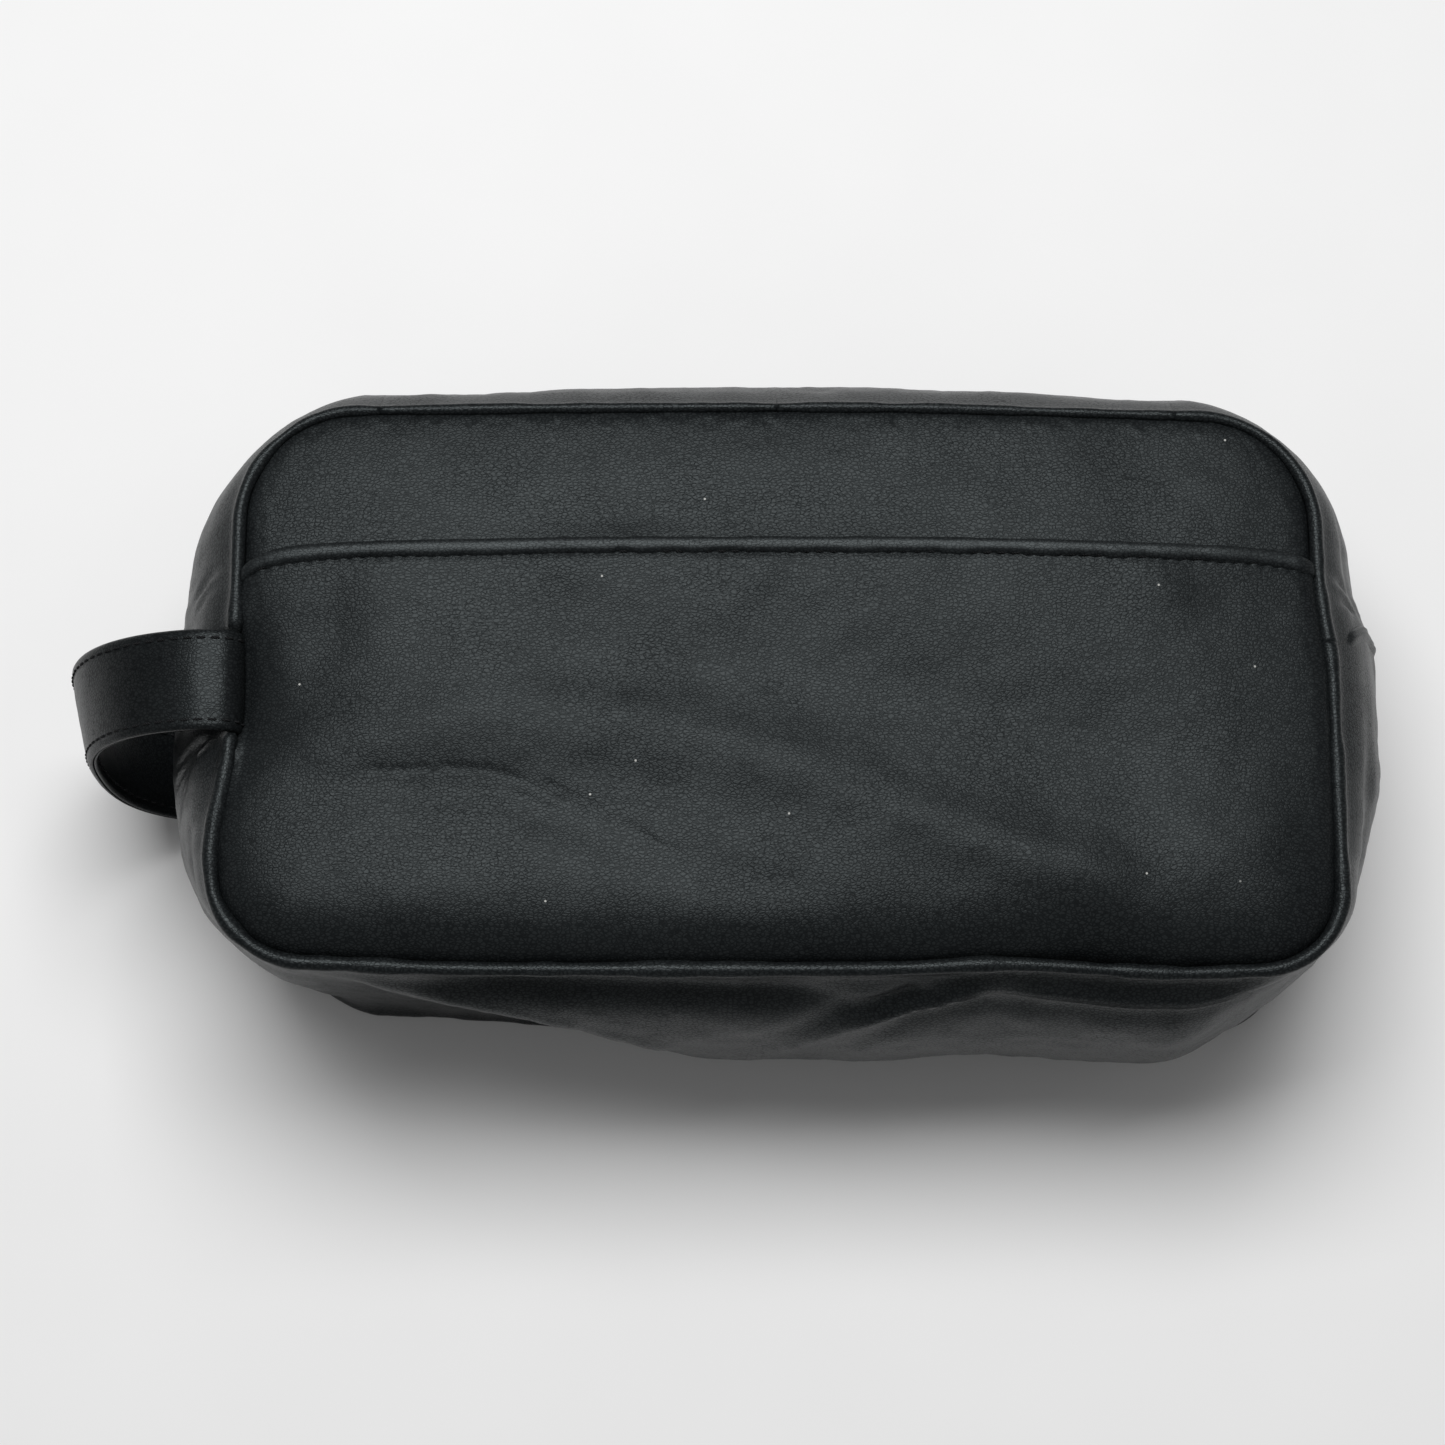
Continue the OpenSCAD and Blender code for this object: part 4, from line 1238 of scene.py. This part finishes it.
def make_pull():
    joint = next(j for j in frame["joints"] if j["name"] == "pull_flip")
    pin = np.array(joint["pos_m"]) / MM
    parts = [pull_tab(pin, *box_mm("zip_pull")), pull_eye(pin)]
    finish_piece(joined("zip_pull_tab", parts, [METAL]), "pull", "zip_metal", "zip_pull")


# ---- handle

STRAP_HALF_T = 1.35
LOOP_REACH = 43.0
LOOP_SQUARE = 0.84                               # below 1 the loop is squarer than an ellipse


LOOP_X = -(HALF_W - 1.0)
STRAP_STEPS = 180
STRAP_SKIN = 1.15
STRAP_EDGE = 1.5                                 # how far in from its edge the strap is rounded
STRAP_STITCH = STRAP_W / 2 - 2.3                 # from the strap's middle to its stitches
STRAP_TWIST = math.radians(13)
# The front end of the strap: it comes out of the seam, bends over it and runs into the loop.
ROOT_X = 0.4 - HALF_W + np.array([0.0, 0.0, -0.1, -0.4, -1.3, -3.0])
ROOT_Z = FRONT_Z + np.array([-9.5, -5.0, -2.0, -0.2, 1.3, 2.2])


def strap_line(count):
    """The strap seen along y: out of the front seam, round the loop and into the back seam."""
    ring = np.radians(np.linspace(9, 173, count))
    rise = np.where(np.cos(ring) > 0, FRONT_Z + 3.3, 2 * MID_Z - BACK_Z - 0.4) - MID_Z
    loop_x = LOOP_X - LOOP_REACH * np.sin(ring) ** LOOP_SQUARE
    loop_z = MID_Z + rise * squared(np.cos(ring), LOOP_SQUARE)
    x = np.concatenate([ROOT_X, loop_x, [-HALF_W - 1.0, -HALF_W + 2.0]])
    z = np.concatenate([ROOT_Z, loop_z, [BACK_Z + 0.3, BACK_Z + 0.6]])
    length = places_along(np.stack([x, z], axis=1))
    even = np.linspace(0, length[-1], count)
    line = np.stack([np.interp(even, length, x), np.interp(even, length, z)])
    for _ in range(4):
        line[:, 1:-1] = (line[:, :-2] + 2 * line[:, 1:-1] + line[:, 2:]) / 4
    return line


def handle_frame(count):
    """Middle line of the strap, its outward direction and its width direction."""
    x, z = strap_line(count)
    reach = np.clip((LOOP_X - x) / LOOP_REACH, 0, 1)
    y = STRAP_ROOT_Y - reach ** 2 - 2.6 * smooth(MID_Z - z, -20, 46)
    middle = np.stack([x, y, z], axis=1)
    along = np.gradient(middle, axis=0)
    along /= np.linalg.norm(along, axis=1, keepdims=True)
    twist = STRAP_TWIST * reach ** 1.5
    width = np.stack([-np.sin(twist), np.cos(twist), np.zeros(len(x))], axis=1)
    width -= along * np.sum(width * along, axis=1, keepdims=True)
    width /= np.linalg.norm(width, axis=1, keepdims=True)
    outward = np.cross(width, along)
    centre = np.array([LOOP_X, 0, MID_Z])
    flip = np.sign(np.sum(outward * (middle - centre), axis=1, keepdims=True))
    return middle, outward * flip, width


def strap_face(middle, outward, width, sign):
    """One face of the strap: slightly crowned, grooved along its stitches and rounded over at its edges."""
    edge_places = np.cos(np.linspace(0, 1.2, 8))
    half = STRAP_W / 2
    across = np.concatenate([-edge_places, np.linspace(-0.33, 0.33, 9), edge_places[::-1]]) * half
    edge = np.clip((half - np.abs(across)) / STRAP_EDGE, 0, 1)
    height = STRAP_HALF_T * (0.12 + 0.88 * np.sqrt(1 - (1 - edge) ** 2))
    height += 0.16 * (1 - (across / half) ** 2)
    height -= humps(across, ((-STRAP_STITCH, 0.55, 0.24), (STRAP_STITCH, 0.55, 0.24)))
    ripple = 0.07 * fractal(np.arange(len(middle))[:, None] / 9, across[None, :] / 5, 81)
    rise = (height[None, :] + ripple * edge[None, :]) * sign
    middle, outward, width = middle[:, None, :], outward[:, None, :], width[:, None, :]
    return middle + outward * rise[..., None] + width * across[None, :, None]


def blend_handle(piece, slot, *replaced):
    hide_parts(*replaced)
    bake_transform(piece)


def make_handle():
    middle, outward, width = handle_frame(STRAP_STEPS)
    outer = strap_face(middle, outward, width, 1)
    flip = face_flip(outer, outward)
    piece = sheet_piece("handle_outer_leather", outer, STRAP_SKIN, [LEATHER_STRAP], flip)
    blend_handle(piece, "leather", "handle_outer", "handle_anchor_front", "handle_anchor_back")
    inner = strap_face(middle, outward, width, -1)
    flip = face_flip(inner, -outward)
    piece = sheet_piece("handle_inner_leather", inner, STRAP_SKIN, [LEATHER_STRAP], flip)
    blend_handle(piece, "leather", "handle_inner")
    make_strap_stitches(middle, outward, width)


def make_strap_stitches(middle, outward, width):
    """Four rows, two on each face, joined into one piece."""
    rows = []
    for facing in (outward, -outward):
        for side in (-1, 1):
            line = middle + facing * (STRAP_HALF_T - 0.06) + width * side * STRAP_STITCH
            rows.append(stitch_row("row", line[6:-6], facing[6:-6]))
    bpy.ops.object.select_all(action="DESELECT")
    for row in rows:
        row.select_set(True)
    bpy.context.view_layer.objects.active = rows[0]
    bpy.ops.object.join()
    rows[0].name = "handle_edge_stitches"
    blend_handle(rows[0], "thread", "handle_stitching")


def face_flip(grid, outward):
    """Whether a grid's own normals point against the way it should face."""
    normal = grid_normals(grid)
    return float(np.sum(normal * outward[:, None, :])) < 0


# ---- setting


FLOOR_HALF = 3000.0
FLOOR_Z = -0.2                                   # just under the bag, so that the two faces don't meet
KEY_PLACE = Vector((-0.08, 0.37, 1.27))          # lights and the camera are placed in metres
KEY_AIM = Vector((0, 0, 0.05))
KEY_SIZE = (0.9, 0.6)
KEY_POWER = 15.5
SURROUND = 0.21                                  # strength of the even white surround


def make_floor():
    corners = [(FLOOR_HALF * x, FLOOR_HALF * y, FLOOR_Z) for x, y in ((-1, -1), (1, -1), (1, 1), (-1, 1))]
    floor = make_object("floor", corners, [[0, 1, 2, 3]], [])
    s = Shader("pale_floor")
    tint = s.mix(s.noise(60, 3.0), (0.86, 0.86, 0.86, 1), (0.9, 0.9, 0.9, 1))
    floor.data.materials.append(s.finish(tint, 0.7))


def make_light():
    world = bpy.data.worlds.new("studio")
    world.use_nodes = True
    background = world.node_tree.nodes["Background"]
    background.inputs["Color"].default_value = (1, 1, 1, 1)
    background.inputs["Strength"].default_value = SURROUND
    bpy.context.scene.world = world
    light = bpy.data.lights.new("key", "AREA")
    light.shape = "RECTANGLE"
    light.size, light.size_y = KEY_SIZE
    light.energy = KEY_POWER
    lamp = bpy.data.objects.new("key", light)
    lamp.location = KEY_PLACE
    lamp.rotation_euler = (KEY_AIM - KEY_PLACE).to_track_quat("-Z", "Y").to_euler()
    bpy.context.scene.collection.objects.link(lamp)


CAMERA_AWAY = 0.72
CAMERA_TILT = math.radians(13.5)
FRAME_WIDTH = 0.332
SENSOR = 36                                      # millimetres, as Blender's cameras use


def make_camera():
    aim = Vector((-0.0128, -0.0085, FRONT_FACE * MM))
    data = bpy.data.cameras.new("camera")
    data.sensor_width = SENSOR
    data.lens = SENSOR * CAMERA_AWAY / FRAME_WIDTH
    data.clip_start = 0.01
    camera = bpy.data.objects.new("camera", data)
    camera.location = aim + Vector((0, -math.sin(CAMERA_TILT), math.cos(CAMERA_TILT))) * CAMERA_AWAY
    camera.rotation_euler = (CAMERA_TILT, 0, 0)
    bpy.context.scene.collection.objects.link(camera)
    bpy.context.scene.camera = camera
    bpy.context.scene.view_settings.view_transform = "Standard"


make_camera()
make_panels()
make_pocket()
make_walls()
make_cross_seams()
make_zip()
make_slider()
make_pull()
make_handle()
make_floor()
make_light()
